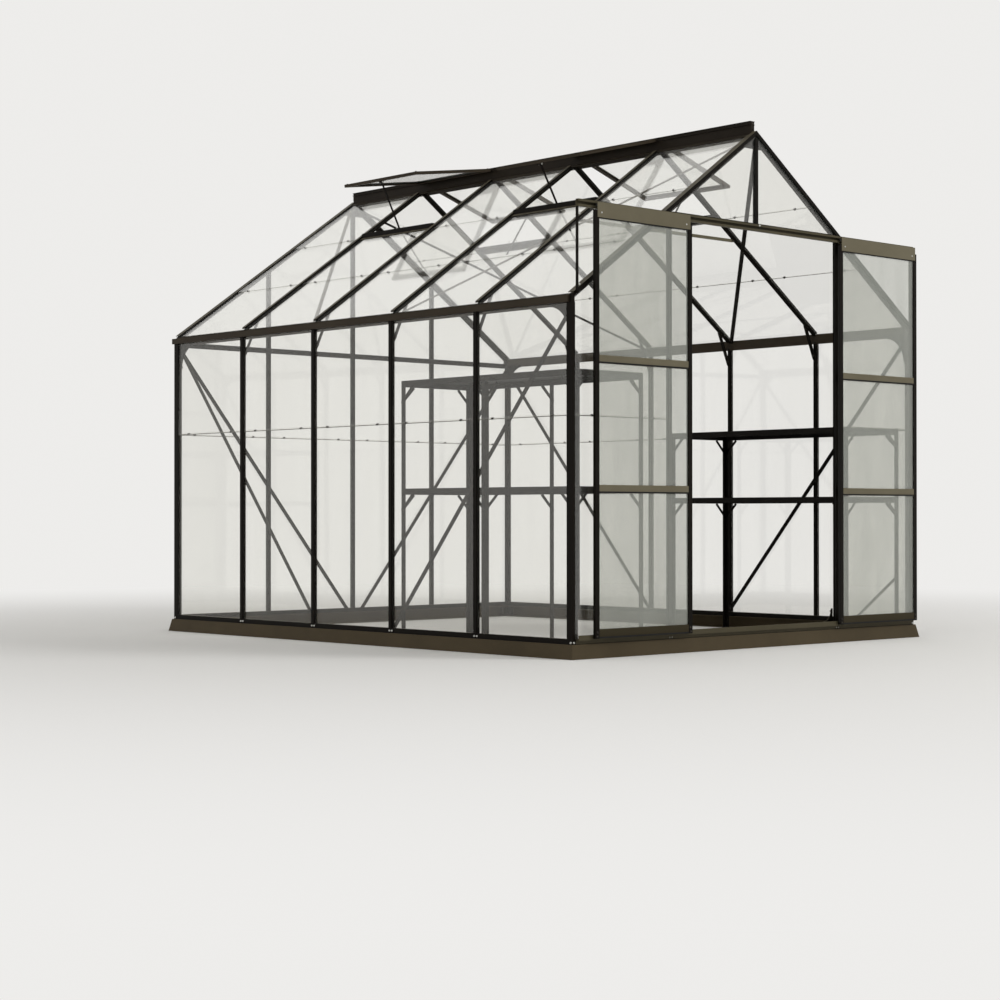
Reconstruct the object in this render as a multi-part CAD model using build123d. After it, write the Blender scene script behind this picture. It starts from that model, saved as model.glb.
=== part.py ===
from build123d import *
from math import cos, hypot, radians, sin, tan
import os

# The house stands with its door gable towards -Y, its ridge along Y and the ground at z = 0.
# Sizes are in millimetres. Depths are measured inwards from the outer face of a wall or roof.

# Bays and heights
bay = 620.0                 # pitch of the glazing bars
side_bays = 5               # bays along each side
gable_bays = 4              # bays across each gable
wall_reach = 22.0           # outer face of a wall beyond the last bay line
plinth_height = 66.0        # base frame on the ground
sill_height = 24.0          # bottom rail on the base frame
eave_height = 1621.0        # top of the gutter's outer lip
roof_rise_at_eave = 10.0    # roof surface above the gutter's lip, at the outer face of a side wall
roof_pitch = 34.85          # degrees

# Glazing bar: an outer cap, a stem between the panes, shoulders for the glass, a bolt channel
bar_width = 22.0
cap_thickness = 2.0
cap_rise = 5.0              # snap-on cap of a side, rear or roof bar in front of the wall or roof face
cap_wall = 1.5
stem_width = 3.0
glass_thickness = 4.0
glass_depth = 7.0           # outer face of a pane below the cap's outer face
shoulder_thickness = 2.0
channel_width = 14.0
channel_depth = 7.0
channel_wall = 1.5
channel_slot = 6.0

# Corner profile of the posts and the gable rafters
corner_box = 16.0           # outer box that the two caps spring from
corner_box_wall = 2.5
corner_wide_cap = 36.0      # cap on a side wall or a roof slope
corner_narrow_cap = 18.0    # cap on a gable
corner_depth = 30.0         # far side of the inner box

# Base frame and bottom rail
plinth_depth = 40.0
plinth_wall = 2.5
plinth_ledge = 8.0          # top of the base frame beyond the wall
plinth_flare = 22.0         # foot of the base frame beyond the wall
sill_depth = 30.0
rail_wall = 2.0
rail_lip = 8.0              # upstand that holds the foot of the glass

# Gutter
gutter_height = 29.0
gutter_reach = 10.0         # outer face beyond the wall
gutter_wall = 2.5
gutter_leg = 13.0           # leg on the bars' inner faces, below the trough
gutter_overrun = 8.0        # past the rear gable, for the outlet
gutter_front_setback = 19.0

# Ridge beam
ridge_stand = 50.0          # top of the beam above the apex of the roof surface
ridge_sink = 12.0           # underside of its box below the apex
ridge_width = 24.0
ridge_wall = 2.5
ridge_cap_overhang = 5.0
ridge_wing = 20.0           # flange over the top edge of the roof glass
ridge_end_inset = 28.0      # behind the outer face of each gable
hinge_ledge = 8.0
hinge_drop = 15.0           # hinge ledge below the top of the beam

# Glazing
pane_gap = 2.0              # between a pane and the stem of its bar
pane_lap = 10.0
pane_clear = 0.5
pane_foot_inset = 12.0      # lowest roof pane behind the wall's outer face
cap_foot_inset = 10.0       # rafter caps behind the wall's outer face
wall_lap_height = 1095.0    # lap between the lower and the upper wall panes
roof_lap_upper = 550.0      # laps down the slope from the apex
roof_lap_lower = 1040.0

# Roof vents
vent_length = 560.0         # hinge to free edge
vent_side_gap = 4.0         # lid's edge to the middle of the rafter
vent_depth = 16.0
vent_rim = 24.0
vent_wall = 2.5
vent_hinge_bead = 3.5
vent_sill_width = 22.0
vent_sill_height = 20.0
vent_sill_flange = 16.0
vent_falls = {("left", 1): 8.0, ("left", 3): 13.9, ("right", 1): 18.0, ("right", 3): 18.5}
stay_width = 12.0
stay_thickness = 3.0
stay_length = 275.0
stay_bracket = 8.0

# Braces and plates
brace_width = 22.0
brace_thickness = 3.0
rear_brace_foot = 60.0      # feet of the rear braces from the middle of the gable
knee_rise = 90.0            # foot of a knee brace below the gutter
knee_reach = 78.0           # head of a knee brace in from the bar's inner face
eave_plate_length = 140.0   # curved plates between the gutters and the corner posts
eave_plate_height = 147.0
brace_head_drop = 36.0      # heads of the wall braces below the gutters
foot_plate_size = 80.0      # curved plates at the feet of the door jambs
plate_thickness = 3.0
plate_rim = 12.0            # width left at the tips of a curved plate
apex_plate_reach = 60.0
apex_plate_drop = 87.0      # lower edge of an apex plate below the apex
crossbar_height = 28.0
crossbar_depth = 20.0
crossbar_rise = 9.0         # top of the rear crossbar above the gutter's underside

# Door header, track and guide rail
lintel_drop = 28.0          # top of the lintel below the roof surface at the jambs
lintel_height = 34.0
track_overlap = 6.0         # track's underside below the lintel's
track_depth = 18.0
track_height = 33.0
track_wall = 2.5
track_lip = 10.0
track_rib_width = 4.0
track_end_inset = 22.0      # ends of the track in from the outer faces of the side walls
support_width = 16.0
guide_drop = 7.0            # underside of the guide rail below the top of the sill
guide_height = 24.0

# Sliding doors
door_width = 644.0
head_gap = 8.0              # between the stiles' tops and the track
door_clearance = 5.0        # between a leaf and the track or the guide rail
door_depth = 14.0
stile_width = 26.0
stile_groove = 5.0
door_wall = 2.0
mid_rail_drops = (650.0, 1232.0)    # tops of the middle rails below the top of the stiles
mid_rail_height = 37.0
foot_rail_height = 42.0
rail_step = 8.0             # recessed lower edge of each door rail
rail_step_depth = 3.0
fascia_half_height = 34.0   # to each side of the top of the stiles
fascia_thickness = 2.5
fascia_inset = 14.0
door_glass = 3.0
left_door_offset = 109.0    # left leaf in from the left wall, as it is parked
right_door_offset = 19.0    # right leaf in from the right wall, as it is parked
wheel_radius = 12.0
wheel_width = 7.0
wheel_inset = 45.0          # from each edge of a leaf
axle_radius = 3.0
running_gap = 0.3
guide_pad_width = 24.0
guide_pad_thickness = 3.5
guide_pad_reach = 12.0      # pad below the top of the guide rail

# Staging along the two sides, in the front half of the house
staging_depth = 450.0
staging_leg = 25.0
staging_setback = 20.0      # clear of the base frame
staging_wall = 2.5
staging_first_frame = 3     # the units reach from the front to this cross frame
tray_edge = 30.0
tray_thickness = 2.0
left_tiers = (1300.0, 772.0)
right_tiers = (1094.0, 736.0)
staging_bracket = 80.0

# Worked out from the sizes above
half_width = gable_bays * bay / 2 + wall_reach
half_length = side_bays * bay / 2 + wall_reach
sill_top = plinth_height + sill_height
shoulder_depth = glass_depth + glass_thickness
shoulder_foot = shoulder_depth + shoulder_thickness
bar_depth = shoulder_foot + channel_depth
slope = tan(radians(roof_pitch))
slope_cos = cos(radians(roof_pitch))
slope_sin = sin(radians(roof_pitch))
apex_height = eave_height + roof_rise_at_eave + half_width * slope
ridge_top = apex_height + ridge_stand
ridge_bottom = apex_height - ridge_sink
gutter_bottom = eave_height - gutter_height
gutter_inner = bar_depth + gutter_wall
jamb_x = bay * gable_bays / 4
lintel_reach = jamb_x - bar_width / 2
lintel_top = apex_height - lintel_reach * slope - lintel_drop
lintel_bottom = lintel_top - lintel_height
track_bottom = lintel_bottom - track_overlap
track_top = track_bottom + track_height
track_reach = half_width - track_end_inset
guide_bottom = sill_top - guide_drop
guide_top = guide_bottom + guide_height
door_top = track_bottom - head_gap
wheel_axis = (track_bottom + track_top) / 2
vent_width = bay - 2 * vent_side_gap
leaf_back = track_depth + door_clearance
leaf_front = leaf_back + door_depth
front_reach = leaf_front + fascia_thickness
house_shift = (front_reach - plinth_flare) / 2
front_y = house_shift - half_length
back_y = house_shift + half_length
big = 4 * half_length

os.makedirs("parts", exist_ok=True)


def save(name, solids):
    # One file for each named piece of the house
    items = list(solids) if isinstance(solids, (list, tuple)) else [solids]
    flat = []
    for item in items:
        flat.extend(item.solids())
    shape = flat[0] if len(flat) == 1 else Compound(children=flat)
    export_step(shape, os.path.join("parts", name + ".step"))


def rect(x0, x1, y0, y1):
    return Pos((x0 + x1) / 2, (y0 + y1) / 2) * Rectangle(x1 - x0, y1 - y0)


def outline(points):
    return make_face(Polyline(*points, close=True))


def block(x0, x1, y0, y1, z0, z1):
    # The ends of each range may come in either order
    return Pos((x0 + x1) / 2, (y0 + y1) / 2, (z0 + z1) / 2) * Box(abs(x1 - x0), abs(y1 - y0), abs(z1 - z0))


def run(section, start, end, inward):
    # Extrudes a section from start to end, with its y axis pointing inwards
    start = Vector(*start)
    along = Vector(*end) - start
    inward = Vector(*inward)
    plane = Plane(origin=start, x_dir=inward.cross(along).normalized(), z_dir=along.normalized())
    return extrude(plane * section, amount=along.length, dir=along.normalized())


def gable_prism(points, y0, y1):
    # Extrudes an outline in x and z between two places along the house
    return extrude(outline([(x, y0, z) for x, z in points]), amount=y1 - y0, dir=(0, 1, 0))


def side_prism(points, x0, x1):
    # Extrudes an outline in y and z between two places across the house
    return extrude(outline([(x0, y, z) for y, z in points]), amount=x1 - x0, dir=(1, 0, 0))


def plan_prism(points, z0, z1):
    return extrude(outline([(x, y, z0) for x, y in points]), amount=z1 - z0, dir=(0, 0, 1))


def front_slab(v0, v1, z0, z1, x0, x1):
    # A block given by its distances in front of the door gable
    return block(x0, x1, front_y - v1, front_y - v0, z0, z1)


def roof_z(x, depth=0.0):
    # Height of the plane at a depth below the roof surface
    return apex_height - abs(x) * slope - depth / slope_cos


def roof_point(side, down, depth):
    # A point on a slope: distance down from the apex, and depth below the roof surface
    x = down * slope_cos - depth * slope_sin
    return side * x, apex_height - down * slope_sin - depth * slope_cos


def under_roof(depth):
    # Everything inside the two roof planes at a depth
    reach = 2 * half_width
    points = [(-reach, -big), (reach, -big), (reach, roof_z(reach, depth)), (0, roof_z(0, depth)),
              (-reach, roof_z(reach, depth))]
    return gable_prism(points, -big / 2, big / 2)


def inside_walls(depth_x, depth_y, z0, z1):
    return block(depth_x - half_width, half_width - depth_x, front_y + depth_y, back_y - depth_y, z0, z1)


def frame_y(index):
    # Place of a cross frame, counted from the rear gable
    return house_shift + (side_bays / 2 - index) * bay


def bar_cap(rise):
    # A hollow cap, level with the wall where it has no rise
    half_bar = bar_width / 2
    section = rect(-half_bar, half_bar, -rise, cap_thickness)
    if rise > cap_wall:
        section -= rect(cap_wall - half_bar, half_bar - cap_wall, cap_wall - rise, 0)
    return section


def bar_section(rise=cap_rise):
    half_bar = bar_width / 2
    half_channel = channel_width / 2
    section = bar_cap(rise)
    section += rect(-stem_width / 2, stem_width / 2, 0, shoulder_depth)
    section += rect(-half_bar, half_bar, shoulder_depth, shoulder_foot)
    section += rect(-half_channel, half_channel, shoulder_foot, bar_depth)
    section -= rect(channel_wall - half_channel, half_channel - channel_wall,
                    shoulder_foot, bar_depth - channel_wall)
    section -= rect(-channel_slot / 2, channel_slot / 2, shoulder_foot, bar_depth)
    return section


def corner_hollow():
    return rect(corner_box_wall, shoulder_depth, corner_box_wall, shoulder_depth)


def corner_section(cap_x, cap_y):
    # Caps on both faces, an outer box, and an inner box that carries the glass
    section = rect(0, cap_x, 0, cap_thickness) + rect(0, cap_thickness, 0, cap_y)
    section += rect(0, corner_box, 0, corner_box)
    section += rect(shoulder_depth, corner_depth, shoulder_depth, corner_depth)
    section -= corner_hollow()
    section -= rect(shoulder_foot, corner_depth - shoulder_thickness,
                    shoulder_foot, corner_depth - shoulder_thickness)
    return section


def wall_run(wall, section):
    # Extrudes a section along the outer face of one wall, past the corners
    w = half_width + plinth_flare
    f = front_y - plinth_flare
    b = back_y + plinth_flare
    ends = {
        "front": ((-w, front_y, 0), (w, front_y, 0), (0, 1, 0)),
        "back": ((w, back_y, 0), (-w, back_y, 0), (0, -1, 0)),
        "left": ((-half_width, b, 0), (-half_width, f, 0), (1, 0, 0)),
        "right": ((half_width, f, 0), (half_width, b, 0), (-1, 0, 0)),
    }
    return run(section, *ends[wall])


def wall_mitre(wall, z0, z1):
    # Plan shape of one of four mitred walls
    far = plinth_flare
    near = -plinth_depth
    corners = {}
    for name, reach in (("outer", far), ("inner", near)):
        w = half_width + reach
        f = front_y - reach
        b = back_y + reach
        corners[name] = {"front": [(-w, f), (w, f)], "right": [(w, f), (w, b)],
                         "back": [(w, b), (-w, b)], "left": [(-w, b), (-w, f)]}
    return plan_prism(corners["outer"][wall] + corners["inner"][wall][::-1], z0, z1)


def make_base():
    # The sections' x axis points down
    top = -plinth_height
    foot = -plinth_flare
    plinth = outline([(top, -plinth_ledge), (0, foot), (0, foot + plinth_wall),
                      (top, plinth_wall - plinth_ledge)])
    plinth += rect(top, top + plinth_wall, -plinth_ledge, plinth_depth)
    plinth += rect(-plinth_wall, 0, foot, plinth_depth)
    seat = sill_top - rail_lip
    sill = rect(-sill_top, top, 0, sill_depth)
    sill -= rect(-sill_top, -seat, rail_wall, shoulder_depth)
    sill -= rect(-seat + rail_wall, top - rail_wall, rail_wall, sill_depth - rail_wall)
    walls = ("front", "back", "left", "right")
    save("base_frame", [wall_run(wall, plinth) & wall_mitre(wall, 0, plinth_height) for wall in walls])
    save("bottom_rails", [wall_run(wall, sill) & wall_mitre(wall, plinth_height, sill_top)
                          & inside_walls(0, 0, 0, sill_top) for wall in walls])


def make_wall_bars():
    section = bar_section()
    for side, name in ((-1, "left"), (1, "right")):
        x = side * half_width
        bars = []
        for index in range(1, side_bays):
            y = frame_y(index)
            bars.append(run(section, (x, y, sill_top), (x, y, gutter_bottom), (-side, 0, 0)))
        save("side_bars_" + name, bars)
    posts = []
    section = corner_section(corner_narrow_cap, corner_wide_cap)
    head = rect(0, corner_box, 0, corner_box) - corner_hollow()
    for side in (-1, 1):
        for end, y in ((-1, front_y), (1, back_y)):
            place = Plane(origin=(side * half_width, y, sill_top))
            shape = section if side < 0 else mirror(section, Plane.YZ)
            shape = shape if end < 0 else mirror(shape, Plane.XZ)
            post = extrude(place * shape, amount=gutter_bottom - sill_top, dir=(0, 0, 1))
            if end < 0:
                # The front posts go up past the gutter's end to the rafters' caps
                shape = head if side < 0 else mirror(head, Plane.YZ)
                post += extrude(place * shape, amount=apex_height, dir=(0, 0, 1)) & under_roof(cap_thickness)
            posts.append(post)
    save("corner_posts", posts)


def make_gable_bars():
    flush = bar_section(0)
    section = bar_section()
    roof_space = under_roof(corner_depth)
    front = []
    for x, foot in ((-jamb_x, sill_top), (jamb_x, sill_top), (0, lintel_top)):
        front.append(run(flush, (x, front_y, foot), (x, front_y, apex_height), (0, 1, 0)) & roof_space)
    save("gable_bars_front", front)
    lintel = block(-lintel_reach, lintel_reach, front_y, front_y + bar_depth, lintel_bottom, lintel_top)
    lintel -= block(-lintel_reach, lintel_reach, front_y + track_wall, front_y + bar_depth,
                    lintel_bottom + track_wall, lintel_top - track_wall)
    save("door_lintel", lintel & roof_space)
    rear = []
    for index in range(1, gable_bays):
        x = (index - gable_bays / 2) * bay
        rear.append(run(section, (x, back_y, sill_top), (x, back_y, apex_height), (0, -1, 0)) & roof_space)
    save("gable_bars_back", rear)
    # A channel across the rear bars, open to the inside of the house
    high = gutter_bottom + crossbar_rise
    low = high - crossbar_height
    reach = half_width - corner_depth
    face = back_y - bar_depth
    crossbar = block(-reach, reach, face - crossbar_depth, face, low, high)
    crossbar -= block(-reach, reach, face - crossbar_depth, face - rail_wall,
                      low + rail_wall, high - rail_wall)
    save("back_crossbar", crossbar)


def make_gutters():
    # Trough along each eave; its inner wall is higher, under the foot of the glass
    t = gutter_wall
    lip = -gutter_reach
    inner_top = roof_z(half_width - gutter_inner, shoulder_depth)
    trough = [(lip, gutter_bottom), (gutter_inner, gutter_bottom), (gutter_inner, inner_top),
              (bar_depth, inner_top - t * slope), (bar_depth, gutter_bottom + t),
              (lip + t, gutter_bottom + t), (lip + t, eave_height - t), (lip + 2 * t, eave_height - t),
              (lip + 2 * t, eave_height), (lip, eave_height)]
    plate = [(lip, gutter_bottom), (gutter_inner, gutter_bottom), (gutter_inner, eave_height),
             (lip, eave_height)]
    leg = [(bar_depth, gutter_bottom - gutter_leg), (gutter_inner, gutter_bottom - gutter_leg),
           (gutter_inner, gutter_bottom), (bar_depth, gutter_bottom)]
    start = front_y + gutter_front_setback
    end = back_y + gutter_overrun
    leg_inset = corner_depth + eave_plate_length
    for side, name in ((-1, "left"), (1, "right")):
        gutter = gable_prism([(side * (half_width - x), z) for x, z in trough], start, end)
        for y in (start, end - t):
            gutter += gable_prism([(side * (half_width - x), z) for x, z in plate], y, y + t)
        # The leg stops at the curved plates
        gutter += gable_prism([(side * (half_width - x), z) for x, z in leg],
                              front_y + leg_inset, back_y - leg_inset)
        save("eave_gutter_" + name, gutter)


def make_ridge():
    half = ridge_width / 2
    wing_top = glass_depth - pane_clear
    ledge = ridge_top - hinge_drop
    solid = rect(-half, half, ridge_bottom, ridge_top)
    solid += rect(-half - ridge_cap_overhang, half + ridge_cap_overhang, ridge_top - ridge_wall, ridge_top)
    solid += rect(-half - hinge_ledge, half + hinge_ledge, ledge - ridge_wall, ledge)
    lip = half - ridge_wall
    far = half + ridge_wing
    for side in (-1, 1):
        # A skirt from the box down to a wing over the top edge of the glass
        solid += outline([(side * lip, ridge_bottom), (side * half, ridge_bottom),
                          (side * half, roof_z(half, wing_top)), (side * lip, roof_z(lip, wing_top))])
        solid += outline([(side * half, roof_z(half, wing_top - ridge_wall)),
                          (side * half, roof_z(half, wing_top)), (side * far, roof_z(far, wing_top)),
                          (side * far, roof_z(far, wing_top - ridge_wall))])
    hollow = rect(-lip, lip, ridge_bottom + ridge_wall, ridge_top - ridge_wall)
    start = front_y + ridge_end_inset
    length = back_y - ridge_end_inset - start
    place = Plane(origin=(0, start, 0), x_dir=(1, 0, 0), z_dir=(0, -1, 0))
    beam = extrude(place * solid, amount=length, dir=(0, 1, 0))
    core = extrude(place * hollow, amount=length, dir=(0, 1, 0))
    # The box is closed by a plate at each end
    core &= block(-half, half, start + ridge_wall, start + length - ridge_wall, 0, big)
    save("ridge_beam", beam - core)


def ridge_shield(y0, y1):
    # Space taken by the ridge beam and its wings, with all above it
    half = ridge_width / 2
    far = half + ridge_wing
    below = roof_z(half, glass_depth)
    space = block(-half, half, y0, y1, below, big)
    space += gable_prism([(-far, roof_z(far, glass_depth)), (0, roof_z(0, glass_depth)),
                          (far, roof_z(far, glass_depth)), (far, big), (-far, big)], y0, y1)
    return space


def make_rafters():
    section = bar_section()
    cap = bar_cap(cap_rise)
    edge = corner_section(corner_wide_cap, corner_narrow_cap)
    edge_cap = rect(0, corner_wide_cap, 0, cap_thickness)
    tip = half_width - cap_foot_inset
    foot = half_width - gutter_inner
    front_foot = half_width - corner_box
    ridge_space = ridge_shield(front_y + ridge_end_inset, back_y - ridge_end_inset)
    wide_shield = ridge_shield(-big / 2, big / 2)
    top = (0, 0, roof_z(0))
    for side, name in ((-1, "left"), (1, "right")):
        low = (side * 2 * half_width, 0, roof_z(2 * half_width))
        inward = (-side * slope_sin, 0, -slope_cos)
        body = block(0, side * foot, -big / 2, big / 2, 0, big)
        eaves = block(0, side * tip, -big / 2, big / 2, 0, big)
        rafter = (run(section, top, low, inward) & body) + (run(cap, top, low, inward) & eaves) - wide_shield
        save("rafters_" + name, [Pos(0, frame_y(i), 0) * rafter for i in range(1, side_bays)])
        ends = []
        for end, y in ((-1, front_y), (1, back_y)):
            flip = side * end < 0
            profile = mirror(edge, Plane.YZ) if flip else edge
            strip = mirror(edge_cap, Plane.YZ) if flip else edge_cap
            room = body
            if end < 0:
                # In front of the gutter's end the rafter goes on to the corner post
                room += block(0, side * front_foot, -corner_depth, gutter_front_setback, 0, big)
            bar = (run(profile, top, low, inward) & room) + (run(strip, top, low, inward) & eaves)
            ends.append(Pos(0, y, 0) * bar - ridge_space)
        save("gable_rafters_" + name, ends)


def curved_plate(length, height, x0, x1):
    # In y and z from an inner corner at 0, 0: a plate with a quarter ellipse cut from its free side
    plate = side_prism([(0, 0), (length, 0), (length, -height), (0, -height)], x0, x1)
    hole = Ellipse(length - plate_rim, height - plate_rim)
    turned = Plane(origin=(x0 - plate_thickness, length, -height), x_dir=(0, 1, 0), z_dir=(1, 0, 0)) * hole
    return plate - extrude(turned, amount=abs(x1 - x0) + 2 * plate_thickness, dir=(1, 0, 0))


def make_plates():
    plates = []
    # Under the apex of each gable, on the middle bar
    reach = apex_plate_reach
    low = apex_height - apex_plate_drop
    shape = [(-reach, low), (reach, low), (reach, roof_z(reach, corner_depth)), (0, roof_z(0, corner_depth)),
             (-reach, roof_z(reach, corner_depth))]
    for y in (front_y + bar_depth, back_y - bar_depth - plate_thickness):
        plates.append(gable_prism(shape, y, y + plate_thickness))
    # Between the gutters and the corner posts
    face = half_width - bar_depth
    curve = curved_plate(eave_plate_length, eave_plate_height, face - plate_thickness, face)
    eave_plates = []
    for side in (-1, 1):
        plate = curve if side > 0 else mirror(curve, Plane.YZ)
        eave_plates.append(Pos(0, front_y + corner_depth, gutter_bottom) * plate)
        eave_plates.append(Pos(0, back_y - corner_depth, gutter_bottom) * mirror(plate, Plane.XZ))
    plates.extend(eave_plates)
    # At the feet of the door jambs, on the bottom rail
    y = front_y + bar_depth
    upright = mirror(curved_plate(foot_plate_size, foot_plate_size, 0, plate_thickness), Plane.XY)
    for side in (-1, 1):
        shift = y if side > 0 else y + plate_thickness
        plates.append(Pos(side * lintel_reach, shift, sill_top) * Rot(0, 0, side * 90) * upright)
    save("joint_plates", plates)
    return eave_plates


def strap(start, end, inward):
    # Runs a little past both ends, to be cut by the room that it lies in
    start = Vector(*start)
    end = Vector(*end)
    spare = (end - start).normalized() * brace_width
    section = rect(-brace_width / 2, brace_width / 2, 0, brace_thickness)
    return run(section, tuple(start - spare), tuple(end + spare), inward)


def make_braces(eave_plates):
    foot_x = half_width - bar_depth
    head_x = foot_x - knee_reach
    foot_z = gutter_bottom - knee_rise
    head_z = roof_z(head_x, bar_depth)
    room = under_roof(bar_depth) & inside_walls(bar_depth, 0, 0, big)
    knees = []
    for side in (-1, 1):
        inward = (side * (foot_z - head_z), 0, -knee_reach)
        strut = strap((side * foot_x, 0, foot_z), (side * head_x, 0, head_z), inward)
        for index in range(1, side_bays):
            knees.append((Pos(0, frame_y(index), 0) * strut) & room)
    save("knee_braces", knees)

    # Straps from the eave plates down to the bottom rail, on the bars' inner faces
    top = gutter_bottom - brace_head_drop
    room = inside_walls(bar_depth, corner_depth, sill_top, gutter_bottom - gutter_leg)
    walls = []
    for side in (-1, 1):
        x = side * foot_x
        for tip, foot in ((front_y + corner_depth + plate_rim / 2, frame_y(3)),
                          (back_y - corner_depth - plate_rim / 2, frame_y(2))):
            brace = strap((x, tip, top), (x, foot, sill_top), (-side, 0, 0)) & room
            for plate in eave_plates:
                brace -= plate
            walls.append(max(brace.solids(), key=lambda part: part.volume))
    room = inside_walls(corner_depth, bar_depth, sill_top, gutter_bottom + crossbar_rise - crossbar_height)
    y = back_y - bar_depth
    for side in (-1, 1):
        tip = (side * (half_width - corner_depth), y, top)
        walls.append(strap(tip, (side * rear_brace_foot, y, sill_top), (0, -1, 0)) & room)
    save("wall_braces", walls)

    # Straps under the rafters, from the ridge at each gable down to the eave
    roof = []
    clear = ridge_width / 2 + brace_width
    for side in (-1, 1):
        inward = (-side * slope_sin, 0, -slope_cos)
        room = inside_walls(gutter_inner, corner_depth, 0, big)
        room &= block(side * clear, side * half_width, -big / 2, big / 2, 0, big)
        for start_y, end_y in ((front_y, frame_y(3)), (back_y, frame_y(2))):
            raw = strap((0, start_y, roof_z(0, bar_depth)),
                        (side * half_width, end_y, roof_z(half_width, bar_depth)), inward)
            roof.append(raw & room)
    save("roof_braces", roof)


def vent_lid_parts(side, fall):
    # One lid at its fall below level, hinged on the ridge's ledge, and the place of its stay
    hinge_x = ridge_width / 2 + running_gap + vent_hinge_bead
    hinge_z = ridge_top - hinge_drop + vent_hinge_bead
    start = hinge_ledge + vent_hinge_bead
    half = vent_width / 2
    edge = vent_depth / 2
    tray = block(start, vent_length, -half, half, -edge, edge)
    tray -= block(start + vent_wall, vent_length - vent_wall, vent_wall - half, half - vent_wall,
                  vent_wall - edge, edge - vent_wall)
    tray -= block(start + vent_rim, vent_length - vent_rim, vent_rim - half, half - vent_rim,
                  -vent_depth, vent_depth)
    lid = tray + Rot(90, 0, 0) * Cylinder(vent_hinge_bead, vent_width)
    lid += block(0, start + vent_wall, -half, half, 0, vent_wall)
    lid += block(start, start + vent_wall, -half, half, -edge, edge)
    pane_inset = 2 * vent_wall
    pane_top = edge - vent_wall
    pane = block(start + pane_inset, vent_length - pane_inset, pane_inset - half, half - pane_inset,
                 pane_top - glass_thickness, pane_top)
    place = vent_length - vent_rim / 2
    grip = block(place - stay_bracket, place + stay_bracket, -stay_width, stay_width,
                 -edge - stay_bracket, -edge)
    turn = Pos(hinge_x, 0, hinge_z) * Rot(0, fall, 0)
    shapes = [turn * lid, turn * pane, turn * grip]
    if side < 0:
        shapes = [mirror(shape, Plane.YZ) for shape in shapes]
    low = edge + stay_bracket / 2
    lean = radians(fall)
    pin_x = hinge_x + place * cos(lean) - low * sin(lean)
    pin_z = hinge_z - place * sin(lean) - low * cos(lean)
    return shapes, (pin_x, pin_z)


def make_vent_sill(side, y):
    # A foot on the rafters' shoulders, an upstand below the lid's edge and a flange over the pane below
    outer = roof_lap_upper * slope_cos
    inner = outer - vent_sill_width
    over = outer + vent_sill_flange
    top = roof_z(outer) + vent_sill_height
    between = (bay - bar_width) / 2
    across = (bay - stem_width) / 2 - pane_gap
    cover = glass_depth - pane_clear
    upstand = [(outer, roof_z(outer, shoulder_depth)), (outer, top), (inner, top),
               (inner, roof_z(inner, shoulder_depth))]
    hollow = [(outer - vent_wall, roof_z(outer, glass_depth)), (outer - vent_wall, top - vent_wall),
              (inner + vent_wall, top - vent_wall), (inner + vent_wall, roof_z(inner, glass_depth))]
    flat = [(outer, roof_z(outer, shoulder_depth)), (outer, roof_z(outer, glass_depth)),
            (inner, roof_z(inner, glass_depth)), (inner, roof_z(inner, shoulder_depth))]
    flange = [(outer, roof_z(outer, cover - vent_wall)), (over, roof_z(over, cover - vent_wall)),
              (over, roof_z(over, cover)), (outer, roof_z(outer, cover))]

    def piece(points, half):
        return gable_prism([(side * x, z) for x, z in points], y - half, y + half)

    sill = piece(upstand, between) - piece(hollow, between) + piece(flat, across) + piece(flange, between)
    return sill, (inner, top)


def make_vents():
    lids = []
    panes = []
    sills = []
    stays = []
    for (name, gap), fall in vent_falls.items():
        side = -1 if name == "left" else 1
        y = (frame_y(gap) + frame_y(gap + 1)) / 2
        (lid, pane, grip), pin = vent_lid_parts(side, fall)
        lids.append(Pos(0, y, 0) * lid)
        panes.append(Pos(0, y, 0) * pane)
        sill, peg = make_vent_sill(side, y)
        sills.append(sill)
        # Casement stay from the lid's grip over the sill, its spare length hanging inside
        dx = peg[0] - pin[0]
        dz = peg[1] - pin[1]
        size = hypot(dx, dz)
        end = (pin[0] + dx * stay_length / size, pin[1] + dz * stay_length / size)
        section = rect(-stay_width / 2, stay_width / 2, running_gap, running_gap + stay_thickness)
        bar = run(section, (side * pin[0], y, pin[1]), (side * end[0], y, end[1]), (side * dz, 0, -dx))
        stays.append(bar + Pos(0, y, 0) * grip)
    save("vent_lids", lids)
    save("vent_glass", panes)
    save("vent_sills", sills)
    save("vent_stays", stays)


def side_pane_ends(gap):
    # The two ends along the house of the panes in one bay
    across = (bay - stem_width) / 2 - pane_gap
    middle = (frame_y(gap) + frame_y(gap + 1)) / 2
    low = front_y + corner_box + pane_gap if gap == side_bays - 1 else middle - across
    high = back_y - corner_box - pane_gap if gap == 0 else middle + across
    return low, high


def make_roof_glass():
    t = glass_thickness
    lift = t + pane_clear
    d = glass_depth
    below_ridge = (ridge_width / 2 + pane_gap + shoulder_depth * slope_sin) / slope_cos
    below_sill = roof_lap_upper + (pane_gap + shoulder_depth * slope_sin) / slope_cos
    foot = (half_width - pane_foot_inset) / slope_cos
    for side, name in ((-1, "left"), (1, "right")):
        panes = []
        for gap in range(side_bays):
            vented = (name, gap) in vent_falls
            rows = [(below_sill if vented else roof_lap_upper, roof_lap_lower + pane_lap, lift),
                    (roof_lap_lower, foot, 0.0)]
            if not vented:
                rows.insert(0, (below_ridge, roof_lap_upper + pane_lap, lift))
            low, high = side_pane_ends(gap)
            for first, last, rise in rows:
                points = [roof_point(side, first, d), roof_point(side, last, d - rise),
                          roof_point(side, last, d - rise + t), roof_point(side, first, d + t)]
                panes.append(gable_prism(points, low, high))
        save("roof_glass_" + name, panes)


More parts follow.
